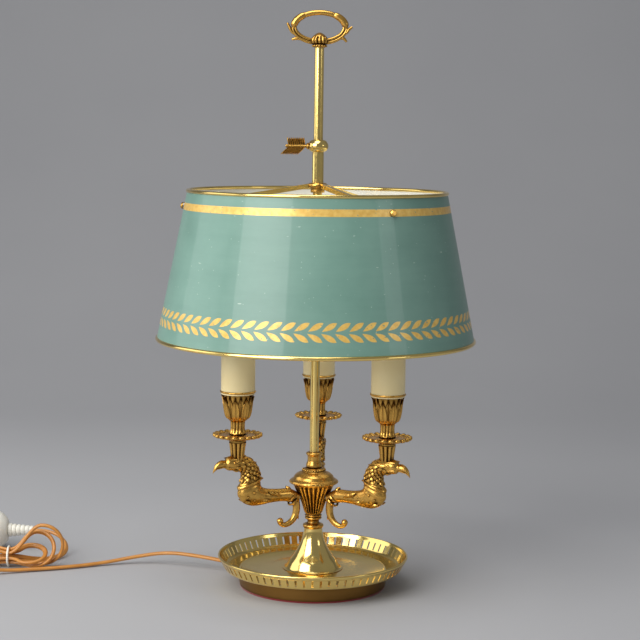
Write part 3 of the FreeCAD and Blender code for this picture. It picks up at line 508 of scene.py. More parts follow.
def through_tie(place, side):
    """The two points of a strand where it passes the tie; places are counted round its ring."""
    angle = math.radians(35 + 360.0 * place / (2 * LOOPS + 1))
    middle = WAIST + Vector((0, 5.4 * math.cos(angle), 5.4 * math.sin(angle)))
    return [middle + Vector((-7.0 * side, 0, 0)), middle + Vector((7.0 * side, 0, 0))]


hank_start = Vector((SWITCH_X - SWITCH_HALF, SWITCH_Y, SWITCH_SPLIT))
hank_points = [
    hank_start,
    hank_start + Vector((-12, 0, 0)),
    Vector((-394, 7.4, 4.6)),
    Vector((-406, 11.4, FLOOR_LIFT)),
    Vector((-411.5, 22.0, FLOOR_LIFT)),
    Vector((-406, 32.6, FLOOR_LIFT)),
    Vector((-394, 36.4, FLOOR_LIFT)),
    Vector((-352, 33.4, FLOOR_LIFT + 0.4)),
    Vector((-316, 33.0, 4.6)),
]
for loop in range(LOOPS):
    hank_points += through_tie(LOOPS + loop, 1) + lobe(1, loop, loop, HANK_RIGHT + NESTING * loop)
    hank_points += through_tie(loop, -1) + lobe(-1, loop, loop + 1, HANK_LEFT + 1.15 * NESTING * loop)
hank_points += through_tie(2 * LOOPS, 1) + [
    Vector((-257.5, 58.5, 4.6)),
    Vector((-245, 65.5, FLOOR_LIFT)),
    Vector((-234.5, 76, FLOOR_LIFT + 0.3)),
    Vector((-229.5, 90, 5.4)),
    Vector((-233, 103.5, 11.0)),
    Vector((-244, 111.0, 16.6)),
    PLUG_FACE + Vector((8, 0, 0)),
    PLUG_FACE,
]


# %% [markdown]
# ## The cord itself
# The lead is a flat twin: two insulated wires side by side, with a groove between them. A section of
# that shape is swept along points read from the NURBS curve. The frame that carries the section is
# carried on from point to point with as little twist as the bends allow.

# %% Twin cord
CORD_WIDE, CORD_THICK = 4.8, 3.0


def nurbs_line(name, points):
    """Points along a NURBS curve of order 3, as Blender works them out for a curve with no bevel."""
    data = bpy.data.curves.new(name, "CURVE")
    data.dimensions = "3D"
    spline = data.splines.new("NURBS")
    spline.points.add(len(points) - 1)
    for place, point in zip(spline.points, points):
        place.co = (*(point * MM), 1)
    spline.order_u = 3
    spline.use_endpoint_u = True
    data.resolution_u = 5
    holder = bpy.data.objects.new(name, data)
    bpy.context.collection.objects.link(holder)
    bpy.context.view_layer.update()
    line = bpy.data.meshes.new_from_object(holder.evaluated_get(bpy.context.evaluated_depsgraph_get()))
    found = [v.co / MM for v in line.vertices]
    bpy.data.objects.remove(holder)
    bpy.data.meshes.remove(line)
    return found


def twin_section():
    """The flat twin's outline: two circles side by side, 18 points in all."""
    radius = CORD_THICK / 2
    shift = (CORD_WIDE - CORD_THICK) / 2
    right_half = [math.radians(-118 + 236 * k / 8) for k in range(9)]
    outline = [(shift + radius * math.cos(a), radius * math.sin(a)) for a in right_half]
    return outline + [(-x, -y) for x, y in outline]


def swept(line, section, start_side=Vector((0, 0, 1))):
    """Rows of a section carried along a line."""
    rows = []
    side = None
    for k, point in enumerate(line):
        along = (line[min(k + 1, len(line) - 1)] - line[max(k - 1, 0)]).normalized()
        if side is None:
            side = along.cross(start_side)
        side = (side - along * side.dot(along)).normalized()
        lift = side.cross(along)
        rows.append([point + side * x + lift * y for x, y in section])
    return rows


def line_length(line):
    return sum((b - a).length for a, b in zip(line, line[1:]))


def make_cord(name, points, node):
    line = nurbs_line(name + "_line", points)
    skinned = skin(swept(line, twin_section()))
    piece = new_piece(name, *skinned, gold_cord, "stand", [node], "cord_gold", 70.0)
    print(name, "length", round(line_length(line)), "mm from", len(points), "points")
    return piece, line


run_cord, run_line = make_cord("cord_floor", run_points, "cord_run")
hank_cord, hank_line = make_cord("cord_folded", hank_points, "cord_hank")

# %% [markdown]
# ## The tie and the plug
# A white plastic ring holds the hank together. The plug is the large round kind with two pins and a
# ribbed sleeve that keeps its lead from kinking. Both are turned about the X axis.

# %% Tie and plug
def on_x_axis(points, start):
    """Points turned about Z, laid from a start point towards -X."""
    return [Vector((start.x - p[2], start.y + p[0], start.z + p[1])) for p in points]


def join(*meshes):
    """Several points-and-faces pairs as one."""
    points, faces = [], []
    for more, those in meshes:
        faces += [tuple(i + len(points) for i in f) for f in those]
        points += [tuple(p) for p in more]
    return points, faces


def ring_outline(radius, bar, steps=12):
    circle = [2 * math.pi * k / steps for k in range(steps + 1)]
    outline = [(radius + bar * math.cos(a), bar * math.sin(a)) for a in circle]
    outline[-1] = outline[0]
    return outline


def x_lathe(name, outline, start, material, node, segments=48, slot="white_plastic"):
    hollow = outline[0] == outline[-1]
    points, faces = skin(turn_rows(outline, segments), not hollow, not hollow)
    faces = [tuple(reversed(f)) for f in faces] if hollow else faces
    return new_piece(name, on_x_axis(points, start), faces, material, "stand", [node], slot)


tie = x_lathe("hank_ring", ring_outline(TIE_RING, TIE_BAR), WAIST, white_plastic, "cord_tie")
SLEEVE_LONG, RIBS, RIB_PITCH = 24.0, 6, 4
plug_start = PLUG_FACE + Vector((-SLEEVE_LONG, 0, 0))
plug_outline = [(0.02, 0)] + flow([
    (9.0, 0.0), (10.4, 0.5), (13.2, 2.6), (16.2, 6.0), (18.0, 10.4), (18.4, 13.5),
], 4) + [
    (18.4, 20.0), (17.9, 20.3), (17.9, 21.1), (18.4, 21.4), (18.4, 34.6), (17.6, 35.8), (16.8, 36.0),
    (0.02, 36.0),
]
plug = x_lathe("plug_shell", plug_outline, plug_start, white_plastic, "plug_body")
rib_outline = [(0.02, 0.1)]
for rib in range(RIBS):
    radius = 3.9 + 0.42 * rib
    for wider, along in ((0, 0.3), (0.25, 0.6), (0.35, 2.8), (-0.5, 3.1), (-0.5, 3.9)):
        rib_outline.append((radius + wider, along + RIB_PITCH * rib))
rib_outline += [(0.02, SLEEVE_LONG)]
relief = x_lathe("plug_sleeve", rib_outline, PLUG_FACE, white_plastic, "plug_relief", 32)
round(line_length(run_line) * MM, 3)
round(line_length(hank_line) * MM, 3)
print("plug at", [round(c) for c in plug_start])

# %% [markdown]
# ## A ring of small things
# Pearls, slots, leaves and screws repeat round the lamp's axis. A Geometry Nodes tree makes such a
# ring: it puts points round a circle, sets a small mesh on each, turns it to face outwards, and joins
# all of them. The result is turned to a plain mesh, because the export has no instances.

# %% Ring tree
def ring_tree():
    tree = bpy.data.node_groups.new("ring of pieces", "GeometryNodeTree")

    def add(kind, sources, operation=None, out=0):
        """Adds a node; each of its sockets is linked to a source, or set to a plain number."""
        node = tree.nodes.new(kind)
        if operation:
            node.operation = operation
        for key, source in sources.items():
            if isinstance(source, bpy.types.NodeSocket):
                tree.links.new(source, node.inputs[key])
            else:
                node.inputs[key].default_value = source
        return node.outputs[out]

    for name, kind in (
        ("Piece", "Object"), ("Count", "Int"), ("Radius", "Float"), ("Height", "Float"), ("Start", "Float"),
        ("Finish", "Material"),
    ):
        tree.interface.new_socket(name, in_out="INPUT", socket_type="NodeSocket" + kind)
    tree.interface.new_socket("Geometry", in_out="OUTPUT", socket_type="NodeSocketGeometry")
    given = tree.nodes.new("NodeGroupInput").outputs
    circle = add("GeometryNodeMeshCircle", {"Vertices": given["Count"], "Radius": given["Radius"]})
    piece = add("GeometryNodeObjectInfo", {"Object": given["Piece"]}, out="Geometry")
    index = add("GeometryNodeInputIndex", {})
    step = add("ShaderNodeMath", {0: 2 * math.pi, 1: given["Count"]}, "DIVIDE")
    turn = add("ShaderNodeMath", {0: step, 1: index}, "MULTIPLY")
    facing = add("ShaderNodeCombineXYZ", {"Z": turn})
    ring = add("GeometryNodeInstanceOnPoints", {"Points": circle, "Instance": piece, "Rotation": facing})
    lift = add("ShaderNodeCombineXYZ", {"Z": given["Height"]})
    whole_turn = add("ShaderNodeCombineXYZ", {"Z": given["Start"]})
    moved = add("GeometryNodeTransform", {"Geometry": ring, "Translation": lift, "Rotation": whole_turn})
    solid = add("GeometryNodeRealizeInstances", {0: moved})
    painted = add("GeometryNodeSetMaterial", {"Geometry": solid, "Material": given["Finish"]})
    tree.links.new(painted, tree.nodes.new("NodeGroupOutput").inputs[0])
    return tree


RING_TREE = ring_tree()


def scrap(points, faces):
    """A small mesh in millimetres for a ring to repeat; it is removed once the ring is made."""
    mesh = bpy.data.meshes.new("scrap")
    mesh.from_pydata([Vector(p) * MM for p in points], [], faces)
    piece = bpy.data.objects.new("scrap", mesh)
    bpy.context.collection.objects.link(piece)
    return piece


def ring_of(name, small, count, radius, height, start, material, body, at=None, sharp=50.0):
    """Repeats a small mesh round Z and gives it back as one plain mesh piece."""
    pattern = scrap(*small)
    holder = scrap([(0, 0, 0)], [])
    modifier = holder.modifiers.new("ring", "NODES")
    modifier.node_group = RING_TREE
    inputs = [item for item in RING_TREE.interface.items_tree if item.in_out == "INPUT"]
    keys = {item.name: item.identifier for item in inputs}
    for key, item in (
        ("Piece", pattern), ("Count", count), ("Radius", radius * MM), ("Height", height * MM),
        ("Start", math.radians(start)), ("Finish", material),
    ):
        modifier[keys[key]] = item
    bpy.context.view_layer.update()
    made = bpy.data.meshes.new_from_object(holder.evaluated_get(bpy.context.evaluated_depsgraph_get()))
    points = [tuple(v.co / MM) for v in made.vertices]
    faces = [tuple(p.vertices) for p in made.polygons]
    for old in (holder, pattern):
        bpy.data.objects.remove(old)
    bpy.data.meshes.remove(made)
    if at is not None:
        points = placed(points, ARM_REACH, at)
    return new_piece(name, points, faces, material, body, (), "gilt_brass", sharp)


def pearl(radius, across=8, down=6, squash=1.0):
    """A small ball of a few faces."""
    rows = []
    for i in range(1, down):
        tilt = math.pi * i / down
        rows.append([
            (radius * math.sin(tilt) * math.cos(2 * math.pi * j / across),
             radius * math.sin(tilt) * math.sin(2 * math.pi * j / across),
             -radius * squash * math.cos(tilt)) for j in range(across)
        ])
    return skin(rows)


# %% [markdown]
# ## The foot and the tray
# The tray is one pressed and spun dish. Its gallery is pierced: 72 narrow slots leave 72 bars. So the
# dish is turned with an open band where the slots are, and a ring of bars closes the band. The rim is
# rolled, and a shallow ring is pressed into the floor.

# %% Tray
TRAY_FLOOR, FOOT_TOP, TRAY_RIM_R = 15.0, 13.8, 83.4
SLOTS, SLOT_WIDE = 72, 1.7
WALL_FOOT_R = TRAY_RIM_R - 6.0
SHOULDER_R = TRAY_RIM_R - 2.2
TRAY_RIM = TRAY_FLOOR + 12.4
BAND_LOW, BAND_HIGH = TRAY_FLOOR + 2.6, TRAY_RIM - 3.4


def wall_radius(height):
    """Inner face of the gallery, straight between its foot and its shoulder."""
    share = (height - (TRAY_FLOOR + 2.6)) / (TRAY_RIM - 2.6 - TRAY_FLOOR - 2.6)
    return WALL_FOOT_R + (SHOULDER_R - WALL_FOOT_R) * share


WALL = 1.15
lower_dish = flow([
    (4.1, FOOT_TOP), (66.0, FOOT_TOP), (69.0, FOOT_TOP), (73.5, FOOT_TOP + 0.4),
    (WALL_FOOT_R - 0.4, FOOT_TOP + 1.7), (wall_radius(BAND_LOW) + WALL, BAND_LOW),
], 5)
lower_dish += [(wall_radius(BAND_LOW), BAND_LOW)]
lower_dish += flow([
    (WALL_FOOT_R - 0.8, TRAY_FLOOR + 1.3), (WALL_FOOT_R - 3.4, TRAY_FLOOR + 0.35), (70.0, TRAY_FLOOR),
    (67.0, TRAY_FLOOR),
], 5)
lower_dish += flow([
    (65.8, TRAY_FLOOR), (64.8, TRAY_FLOOR + 0.5), (63.2, TRAY_FLOOR + 0.5), (62.2, TRAY_FLOOR),
], 3)
lower_dish += [(40.0, TRAY_FLOOR), (4.1, TRAY_FLOOR), (4.1, FOOT_TOP)]
lathe("tray_pan", lower_dish, spun_brass, "stand", ["tray_dish"], 144)
rim_line = flow([
    (wall_radius(BAND_HIGH), BAND_HIGH), (SHOULDER_R, TRAY_RIM - 2.4), (81.9, TRAY_RIM - 0.2),
    (82.6, TRAY_RIM + 0.15), (83.3, TRAY_RIM - 0.4), (83.35, TRAY_RIM - 1.3), (82.8, TRAY_RIM - 2.0),
    (wall_radius(BAND_HIGH) + 1.2, BAND_HIGH + 0.3), (wall_radius(BAND_HIGH) + WALL, BAND_HIGH),
], 4)
rim_line += [(wall_radius(BAND_HIGH), BAND_HIGH)]
lathe("tray_rim", list(reversed(rim_line)), spun_brass, "stand", (), 144)
bar_half = math.pi * WALL_FOOT_R / SLOTS - SLOT_WIDE / 2
bar_points = []
for height in (BAND_LOW - 0.1, BAND_HIGH + 0.1):
    reach = wall_radius(height) - WALL_FOOT_R
    spread = bar_half * wall_radius(height) / WALL_FOOT_R
    for away, side in ((0, -1), (WALL, -1), (WALL, 1), (0, 1)):
        bar_points.append((reach + away, side * spread, height))
bar_faces = [(0, 1, 5, 4), (1, 2, 6, 5), (2, 3, 7, 6), (3, 0, 4, 7), (3, 2, 1, 0), (4, 5, 6, 7)]
ring_of(
    "tray_bars", (bar_points, bar_faces), SLOTS, WALL_FOOT_R, 0.0, 180.0 / SLOTS, spun_brass, "stand",
    sharp=30.0,
)
foot_outline = flow([(64.0, 1.5), (64.2, 2.4), (65.0, 8.0), (66.0, FOOT_TOP)], 4)
foot_outline += [(64.8, FOOT_TOP), (62.8, 1.5), (64.0, 1.5)]
lathe("foot_ring", foot_outline, shaded_foot_brass, "stand", ["base_plinth"], 144)
print("slots:", SLOTS, "bar width", round(2 * bar_half, 2), "mm")

# %% [markdown]
# ## The column
# A trumpet-shaped cone rises from the tray and carries a knop, a fluted urn and a domed lid with
# rings of pearls. The flutes are a ripple in the radius: rounded lobes with sharp valleys.

# %% Column
def lobes(count, depth, start=0.0, end=1.0):
    """A ripple of rounded lobes with sharp valleys, between two shares of an outline."""
    def ripple(angle, share):
        if not start <= share <= end:
            return 0.0
        fade = min(1.0, 8 * (share - start) / (end - start), 8 * (end - share) / (end - start))
        return depth * fade * (abs(math.cos(count * angle / 2)) - 1.0)
    return ripple


lathe("cone_trumpet", flow([
    (26.0, 15.0), (26.2, 15.5), (24.4, 16.0), (22.4, 19.0), (20.2, 22.8), (15.5, 29.2), (11.6, 36.0),
    (9.7, 41.0), (8.4, 47.0), (8.0, 51.0),
], 6), spun_brass, "stand", ["pedestal_cone"])
lathe("knop_turned", [(7.6, 51.0)] + flow([
    (8.2, 51.1), (9.0, 52.2), (9.1, 53.4), (8.5, 54.3), (6.2, 55.1), (5.2, 56.2), (5.1, 57.4), (5.6, 58.4),
    (7.0, 59.1), (7.4, 59.9), (6.9, 60.8), (6.0, 61.4),
], 5), cast_brass, "stand", ["knop"])
lathe("urn_cup", flow([
    (7.2, 61.5), (7.5, 62.4), (6.6, 63.3), (8.0, 65.4), (9.2, 69.2), (11.4, 75.4), (14.8, 82.5),
    (17.4, 88.2), (18.2, 90.4),
], 8), cast_brass, "stand", ["urn_body"], 220, lobes(24, 2.0, 0.3, 0.99))
lathe("urn_dome", flow([
    (18.0, 90.5), (20.4, 90.8), (21.2, 92.0), (20.6, 93.6), (18.9, 94.4), (18.2, 95.2),
], 6) + flow([
    (17.9, 95.3), (16.6, 97.8), (14.0, 99.8), (11.0, 101.0), (10.0, 102.0), (9.2, 103.4), (7.4, 104.4),
], 6), cast_brass, "stand", ["urn_lid"], 96)
ring_of("lid_edge", pearl(1.0, 10, 8), 34, 20.6, 92.2, 0.0, cast_brass, "stand")
ring_of("lid_pearls", pearl(1.05), 26, 9.5, 102.7, 0.0, cast_brass, "stand")
lathe("neck_collar", flow([
    (6.0, 104.5), (6.8, 105.4), (6.9, 107.2), (6.4, 108.8), (5.8, 110.4), (5.7, 113.4), (6.1, 115.2),
    (6.9, 116.4), (7.0, 117.4), (6.2, 118.1),
], 5) + [(4.1, 118.1), (4.1, 104.5), (6.0, 104.5)], cast_brass, "stand", ["stem_collar"], 96)
print("column from", 15.0, "to", 118.1, "mm")

# %% [markdown]
# ## The rod and the ring handle
# A plain rod goes up through the shade to a ring for carrying the lamp. The ring is a cast oval. Its
# top is one smooth bar and its foot is two strands side by side, with leaves wrapped round the
# joints. Small curled leaves stand off it. All of them are swept along curves, with widths that taper.

# %% Rod and finial
ROD_R, ROD_BORE, ROD_LOW, ROD_HIGH = 4.0, 2.7, 111.2, 467.9
rod_outline = [
    (ROD_R, ROD_LOW), (ROD_R, 300.0), (ROD_R, ROD_HIGH), (ROD_BORE, ROD_HIGH), (ROD_BORE, ROD_LOW),
    (ROD_R, ROD_LOW),
]
lathe("rod_tube", rod_outline, rod_brass, "stand", ["centre_rod"], 48)
lathe("finial_disc", flow([
    (4.4, ROD_HIGH), (5.5, 468.4), (5.7, 469.3), (5.5, 470.2), (4.4, 470.6),
], 3), cast_brass, "stand", ["finial_washer"], 48)
ring_of("finial_pearls", pearl(1.0), 16, 5.6, 469.3, 0.0, cast_brass, "stand")
lathe("finial_ball", flow([
    (4.6, 470.6), (6.6, 471.6), (7.4, 473.4), (7.2, 475.2), (6.0, 477.0), (4.4, 478.6), (2.6, 479.9),
    (1.0, 480.6),
], 6), cast_brass, "stand", (), 144, lobes(12, 1.5, 0.02, 0.62))
RING_CENTRE, RING_WIDE, RING_HIGH = 485.1, 21.8, 12.4


def ring_place(turn, out=0.0):
    """A point of the ring's centre line, or beside it, towards the outside."""
    angle = math.radians(turn)
    away = Vector((math.cos(angle) * RING_HIGH, 0, math.sin(angle) * RING_WIDE)).normalized()
    return Vector((RING_WIDE * math.cos(angle), 0, RING_CENTRE + RING_HIGH * math.sin(angle))) + away * out


def tapered(line, widths, segments=14, flat=1.0):
    """A solid swept along a line in the XZ plane, with half widths that go smoothly along it."""
    line = [Vector(p) for p in line]
    sizes = flow([(w,) for w in widths], 8)
    rows = []
    for k, point in enumerate(line):
        along = (line[min(k + 1, len(line) - 1)] - line[max(k - 1, 0)]).normalized()
        across = Vector((along.z, 0, -along.x))
        size = max(0.04, sizes[round(k * (len(sizes) - 1) / (len(line) - 1))][0])
        rows.append([
            point + across * (size * math.cos(a)) + Vector((0, 1, 0)) * (size * flat * math.sin(a))
            for a in (2 * math.pi * j / segments for j in range(segments))
        ])
    return facing_out(*skin(rows))


def facing_out(points, faces):
    """Faces turned, if need be, so that they point outwards."""
    return points, (faces if volume(points, faces) > 0 else [tuple(reversed(f)) for f in faces])


def volume(points, faces):
    """Signed volume inside the faces: positive where they face outwards."""
    total = 0.0
    for face in faces:
        first = Vector(points[face[0]])
        for i, j in zip(face[1:], face[2:]):
            total += first.dot(Vector(points[i]).cross(Vector(points[j])))
    return total


def ring_piece(name, solid, stands_for=()):
    return new_piece(name, *solid, cast_brass, "stand", stands_for, "gilt_brass")


top_bar = [ring_place(t) for t in range(14, 167, 3)]
ring_piece("ring_top", tapered(top_bar, (2.2, 2.3, 2.3, 2.3, 2.2)), ["ring_handle"])
for name, out in (("ring_strand_outer", 1.25), ("ring_strand_inner", -1.2)):
    strand = [ring_place(t, out) for t in range(150, 391, 4)]
    ring_piece(name, tapered(strand, (0.9, 1.35, 1.35, 1.35, 0.9)))
for name, turns in (("ring_wrap_left", range(186, 112, -4)), ("ring_wrap_right", range(-6, 68, 4))):
    ring_piece(name, tapered([ring_place(t, 0.25) for t in turns], (1.2, 2.9, 3.1, 3.0, 2.7, 0.7)))
leaf_curls = (
    ("left", ((214, 0.8), (198, 2.2), (187, 3.2)), (-27.6, 0, 488.6)),
    ("right", ((-30, 0.8), (-16, 2.2), (-5, 3.2)), (27.8, 0, 485.6)),
    ("low_left", ((236, 0.6), (224, 1.6), (216, 3.0)), (-23.6, 0, 474.6)),
    ("low_right", ((-52, 0.6), (-40, 1.6), (-33, 3.0)), (23.2, 0, 473.0)),
)
for name, places, tip in leaf_curls:
    curl = flow([ring_place(*place) for place in places] + [tip], 5)
    ring_piece(f"ring_curl_{name}", tapered(curl, (0.5, 1.1, 1.3, 1.3, 0.9), 10))
print("ring pieces:", 5 + len(leaf_curls))

# %% [markdown]
# ## The clamp and its arrow
# The shade rests on a collar that slides on the rod. Its clamp screw is an arrow: the shaft is the
# screw, and the fletching is its thumb piece. Each vane is a thin plate with saw teeth along its
# edge, and a row of rounded barbs lies over it.

# %% Clamp and arrow
lathe("clamp_ball", flow([
    (5.4, 379.4), (6.9, 380.2), (8.3, 382.0), (8.8, 384.2), (8.4, 386.4), (7.0, 388.6), (5.4, 389.6),
], 6) + [(4.1, 389.6), (4.1, 379.4), (5.4, 379.4)], spun_brass, "clamp", ["clamp_collar"], 72)
AXIS_HEIGHT, BARBS = 384.3, 9


def plate(outline, half):
    """A flat plate in the XZ plane, from its outline."""
    count = len(outline)
    points = [(x, -half, z) for x, z in outline] + [(x, half, z) for x, z in outline]
    faces = [tuple(range(count)), tuple(reversed(range(count, 2 * count)))]
    faces += [(k, k + count, (k + 1) % count + count, (k + 1) % count) for k in range(count)]
    return facing_out(points, faces)


def vane(side):
    """One vane of the arrow: a slanted band with saw teeth along its free edge."""
    long, high = 14.6, 6.0
    lean = -6.2 if side < 0 else -0.9
    near = (-10.9, AXIS_HEIGHT + side * 0.5)
    far = (near[0] + lean, near[1] + side * high)
    tooth = long / BARBS
    outline = [near, far]
    for k in range(BARBS):
        outline.append((far[0] - tooth * (k + 0.55), far[1] - side * 0.8))
        outline.append((far[0] - tooth * (k + 1), far[1]))
    outline.append((near[0] - long, near[1]))
    return plate(outline, 0.35)


for side, name in ((1, "arrow_vane_high"), (-1, "arrow_vane_low")):
    new_piece(name, *vane(side), cast_brass, "clamp_screw", (), "gilt_brass", 30.0)
shaft_outline = [(0.02, 4.2), (1.4, 4.2), (2.6, 8.2), (3.0, 8.6), (2.5, 9.6)]
shaft_outline += flow([(1.5, 10.6), (1.2, 12.0), (1.2, 25.0), (1.5, 27.4), (1.1, 28.0)], 4)
points, faces = skin(turn_rows(shaft_outline + [(0.02, 28.0)], 24))
points = on_x_axis(points, Vector((0, 0, AXIS_HEIGHT)))
new_piece(
    "arrow_shaft", *facing_out(points, faces), cast_brass, "clamp_screw", ["arrow_screw"], "gilt_brass",
)
barbs = []
for number in range(BARBS):
    for side, lean in ((1, -1.0), (-1, -6.6)):
        low = Vector((-11.6 - 1.72 * number, 0, AXIS_HEIGHT + side * 1.0))
        high = low + Vector((lean, 0, side * 6.2))
        barbs.append(tapered(flow([low, low.lerp(high, 0.5), high], 4), (0.5, 0.66, 0.62, 0.4), 8, 1.9))
new_piece("arrow_barbs", *join(*barbs), cast_brass, "clamp_screw", (), "gilt_brass")
print("arrow barbs:", len(barbs))

# %% [markdown]
# ## The shade and what carries it
# The shade is a thin cone with a painted outside and a white inside, between two rolled brass rims.
# Three flat arms reach from a small hub to its wall, and a domed screw holds each one.

# %% Shade
SPIDER_TURN, SCREW_HEIGHT, SHADE_STEPS = 182.0, 332.0, 8


def shade_side(name, inward, material, stands_for):
    outline = []
    for k in range(SHADE_STEPS + 1):
        share = k / SHADE_STEPS
        radius = SHADE_BOTTOM_R + (SHADE_TOP_R - SHADE_BOTTOM_R) * share - inward
        outline.append((radius, SHADE_BOTTOM + (SHADE_TOP - SHADE_BOTTOM) * share))
    points, faces = skin(turn_rows(outline, 192), False, False)
    faces = [tuple(reversed(f)) for f in faces] if inward else faces
    return new_piece(name, points, faces, material, "shade", stands_for, "green_paint")


shade_side("shade_outside", 0.0, green_paint, ["shade_shell"])
shade_side("shade_inside", 0.8, white_paint, ())
for name, node, radius, height, bar in (
    ("shade_rim_top", "shade_top_rim", SHADE_TOP_R - 0.4, SHADE_TOP, 1.6),
    ("shade_rim_low", "shade_bottom_rim", SHADE_BOTTOM_R - 0.4, SHADE_BOTTOM, 1.8),
):
    outline = [(r, z + height) for r, z in ring_outline(radius, bar)]
    lathe(name, outline, spun_brass, "shade", [node], 192, slot="green_paint")
lathe("spider_boss", flow([
    (5.05, 344.8), (6.0, 344.9), (6.1, 348.2), (7.6, 349.0), (8.2, 350.4), (8.1, 351.6), (7.2, 352.7),
    (5.05, 353.0),
], 4) + [(5.05, 344.8)], cast_brass, "shade", ["spider_hub"], 72)
dome_outline = flow([(2.95, 0.12), (2.8, 1.2), (1.9, 2.3), (0.5, 2.75), (0.05, 2.8)], 3)
dome_points, dome_faces = skin(turn_rows(dome_outline, 24))
tilt = math.atan2(1, SHADE_SLOPE)
radius = SHADE_TOP_R + (SHADE_TOP - SCREW_HEIGHT) * SHADE_SLOPE
leaning = [
    (
        x * math.cos(tilt) + z * math.sin(tilt) + radius,
        y,
        z * math.cos(tilt) - x * math.sin(tilt) + SCREW_HEIGHT,
    )
    for x, y, z in dome_points
]
for k in range(3):
    points = placed(leaning, 0.0, SPIDER_TURN + 120 * k)
    new_piece(f"shade_dome_{k}", points, dome_faces, steel, "shade", (), "gilt_brass")
print("shade from", SHADE_BOTTOM, "to", SHADE_TOP, "mm")

# %% [markdown]
# ## The eagle arms
# Each arm is one casting: a bar that leaves the urn, swells into a breast, rises as a feathered neck
# and ends in an eagle's head that looks outwards. Its side view is given by pairs of points, one low
# or outer and one high or inner, each with a half width. A smooth curve through the pairs gives a
# close set of sections. Feathers, small scrolls, eyes and brows lie on it as solids of their own.

# %% Bird arm
ARM_HEIGHT = 79.5
side_view = [
    (15.6, -4.5, 15.6, 4.5, 4.5), (23.5, -3.8, 23.5, 8.4, 4.8), (27.0, -2.9, 27.0, 8.8, 4.8),
    (34.0, -2.3, 34.0, 8.9, 5.0),
    (43.5, -2.8, 41.0, 9.4, 5.5), (52.0, -3.9, 47.5, 10.6, 6.3), (60.8, -3.7, 50.8, 12.4, 7.0),
    (68.6, -0.2, 52.0, 14.4, 7.3), (72.8, 6.6, 52.4, 16.4, 7.0), (72.3, 13.4, 52.6, 19.0, 6.4),
    (69.2, 20.0, 53.0, 22.6, 5.6), (68.1, 24.6, 54.8, 28.6, 5.2), (69.7, 27.8, 58.8, 34.8, 5.4),
    (73.4, 28.2, 66.5, 40.0, 5.9), (79.2, 28.4, 77.8, 41.2, 6.2), (83.2, 29.0, 82.8, 40.4, 5.0),
    (85.6, 30.8, 85.4, 37.8, 3.4), (88.8, 30.8, 88.4, 38.0, 3.3), (92.6, 30.2, 92.2, 36.4, 2.4),
    (95.4, 28.2, 95.0, 33.2, 1.4), (96.6, 26.8, 96.5, 28.6, 0.3),
]


def feathered(run, angle, share):
    """Relief of overlapping feathers: a saw tooth along the arm, with scalloped edges."""
    start, end = 0.33, 0.66
    if not start < share < end:
        return 0.0
    fade = min(1.0, 12 * (share - start), 12 * (end - share))
    row = run / 4.6
    around = angle * 9 / (2 * math.pi) + 0.5 * (int(row) % 2)
    edge = row + 0.32 * abs(math.sin(math.pi * around))
    tooth = edge - math.floor(edge)
    return fade * (0.75 * (1 - tooth) - 0.3)


def bird_rows(segments=40, steps=7):
    rows = []
    run = 0.0
    before = None
    sections = flow(side_view, steps)
    for k, (x1, z1, x2, z2, half) in enumerate(sections):
        low = Vector((x1, 0, z1 + ARM_HEIGHT))
        high = Vector((x2, 0, z2 + ARM_HEIGHT))
        middle = (low + high) / 2
        rise = (high - low) / 2
        run += (middle - before).length if before else 0.0
        before = middle
        row = []
        for j in range(segments):
            angle = 2 * math.pi * j / segments
            swell = 1 + feathered(run, angle, k / (len(sections) - 1)) / 8.0
            out = rise * math.cos(angle) - Vector((0, 1, 0)) * (half * math.sin(angle))
            row.append(middle + out * swell)
        rows.append(row)
    return rows


bird_skin = facing_out(*skin(bird_rows()))


def pearl_at(x, y, z, radius, squash=1.0):
    """A small ball at a place."""
    points, faces = pearl(radius, 12, 8, squash)
    return [(p[0] + x, p[1] + y, p[2] + z) for p in points], faces


def leaf_between(start, end, widths, y=0.0, flat=0.5):
    """A straight leaf from one point to another in the XZ plane, moved sideways by y."""
    line = [Vector(start).lerp(Vector(end), k / 10) for k in range(11)]
    points, faces = tapered(line, widths, 10, flat)
    return [(p[0], p[1] + y, p[2]) for p in points], faces


def hoop(centre, normal, radius, bar, segments=28):
    """A small ring at a slant, such as the double ring where an arm meets the urn."""
    normal = Vector(normal).normalized()
    side = Vector((0, 1, 0))
    other = normal.cross(side)
    rows = []
    for k in range(segments):
        angle = 2 * math.pi * k / segments
        out = side * math.cos(angle) + other * math.sin(angle)
        rows.append([
            Vector(centre) + out * (radius + bar * math.cos(a)) + normal * (bar * math.sin(a))
            for a in (2 * math.pi * j / 8 for j in range(8))
        ])
    return skin(rows + rows[:1], False, False)


SCROLLS = (
    (60.6, 88.2, 3.4), (55.0, 83.0, 2.3), (66.4, 84.6, 2.2), (49.0, 84.8, 1.9), (60.2, 81.4, 1.9),
    (43.6, 83.6, 1.5),
)
SIDE_LEAVES = (
    ((52.5, 0, 80.4), (44.8, 0, 80.6)), ((46.0, 0, 88.0), (37.6, 0, 83.4)),
    ((41.6, 0, 86.2), (33.6, 0, 82.6)), ((64.0, 0, 79.6), (69.6, 0, 80.8)),
)
HEAD_LEAVES = (
    ((73.0, 0, 117.2), (84.2, 0, 118.4), (0.4, 1.1, 1.3, 1.1, 0.3), 4.5, 0.8),
    ((73.5, 0, 110.8), (84.0, 0, 111.6), (0.4, 1.2, 1.3, 0.9, 0.2), 4.8, 0.7),
    ((84.0, 0, 112.6), (95.0, 0, 110.2), (0.2, 0.6, 0.6, 0.4, 0.1), 2.7, 1.0),
)
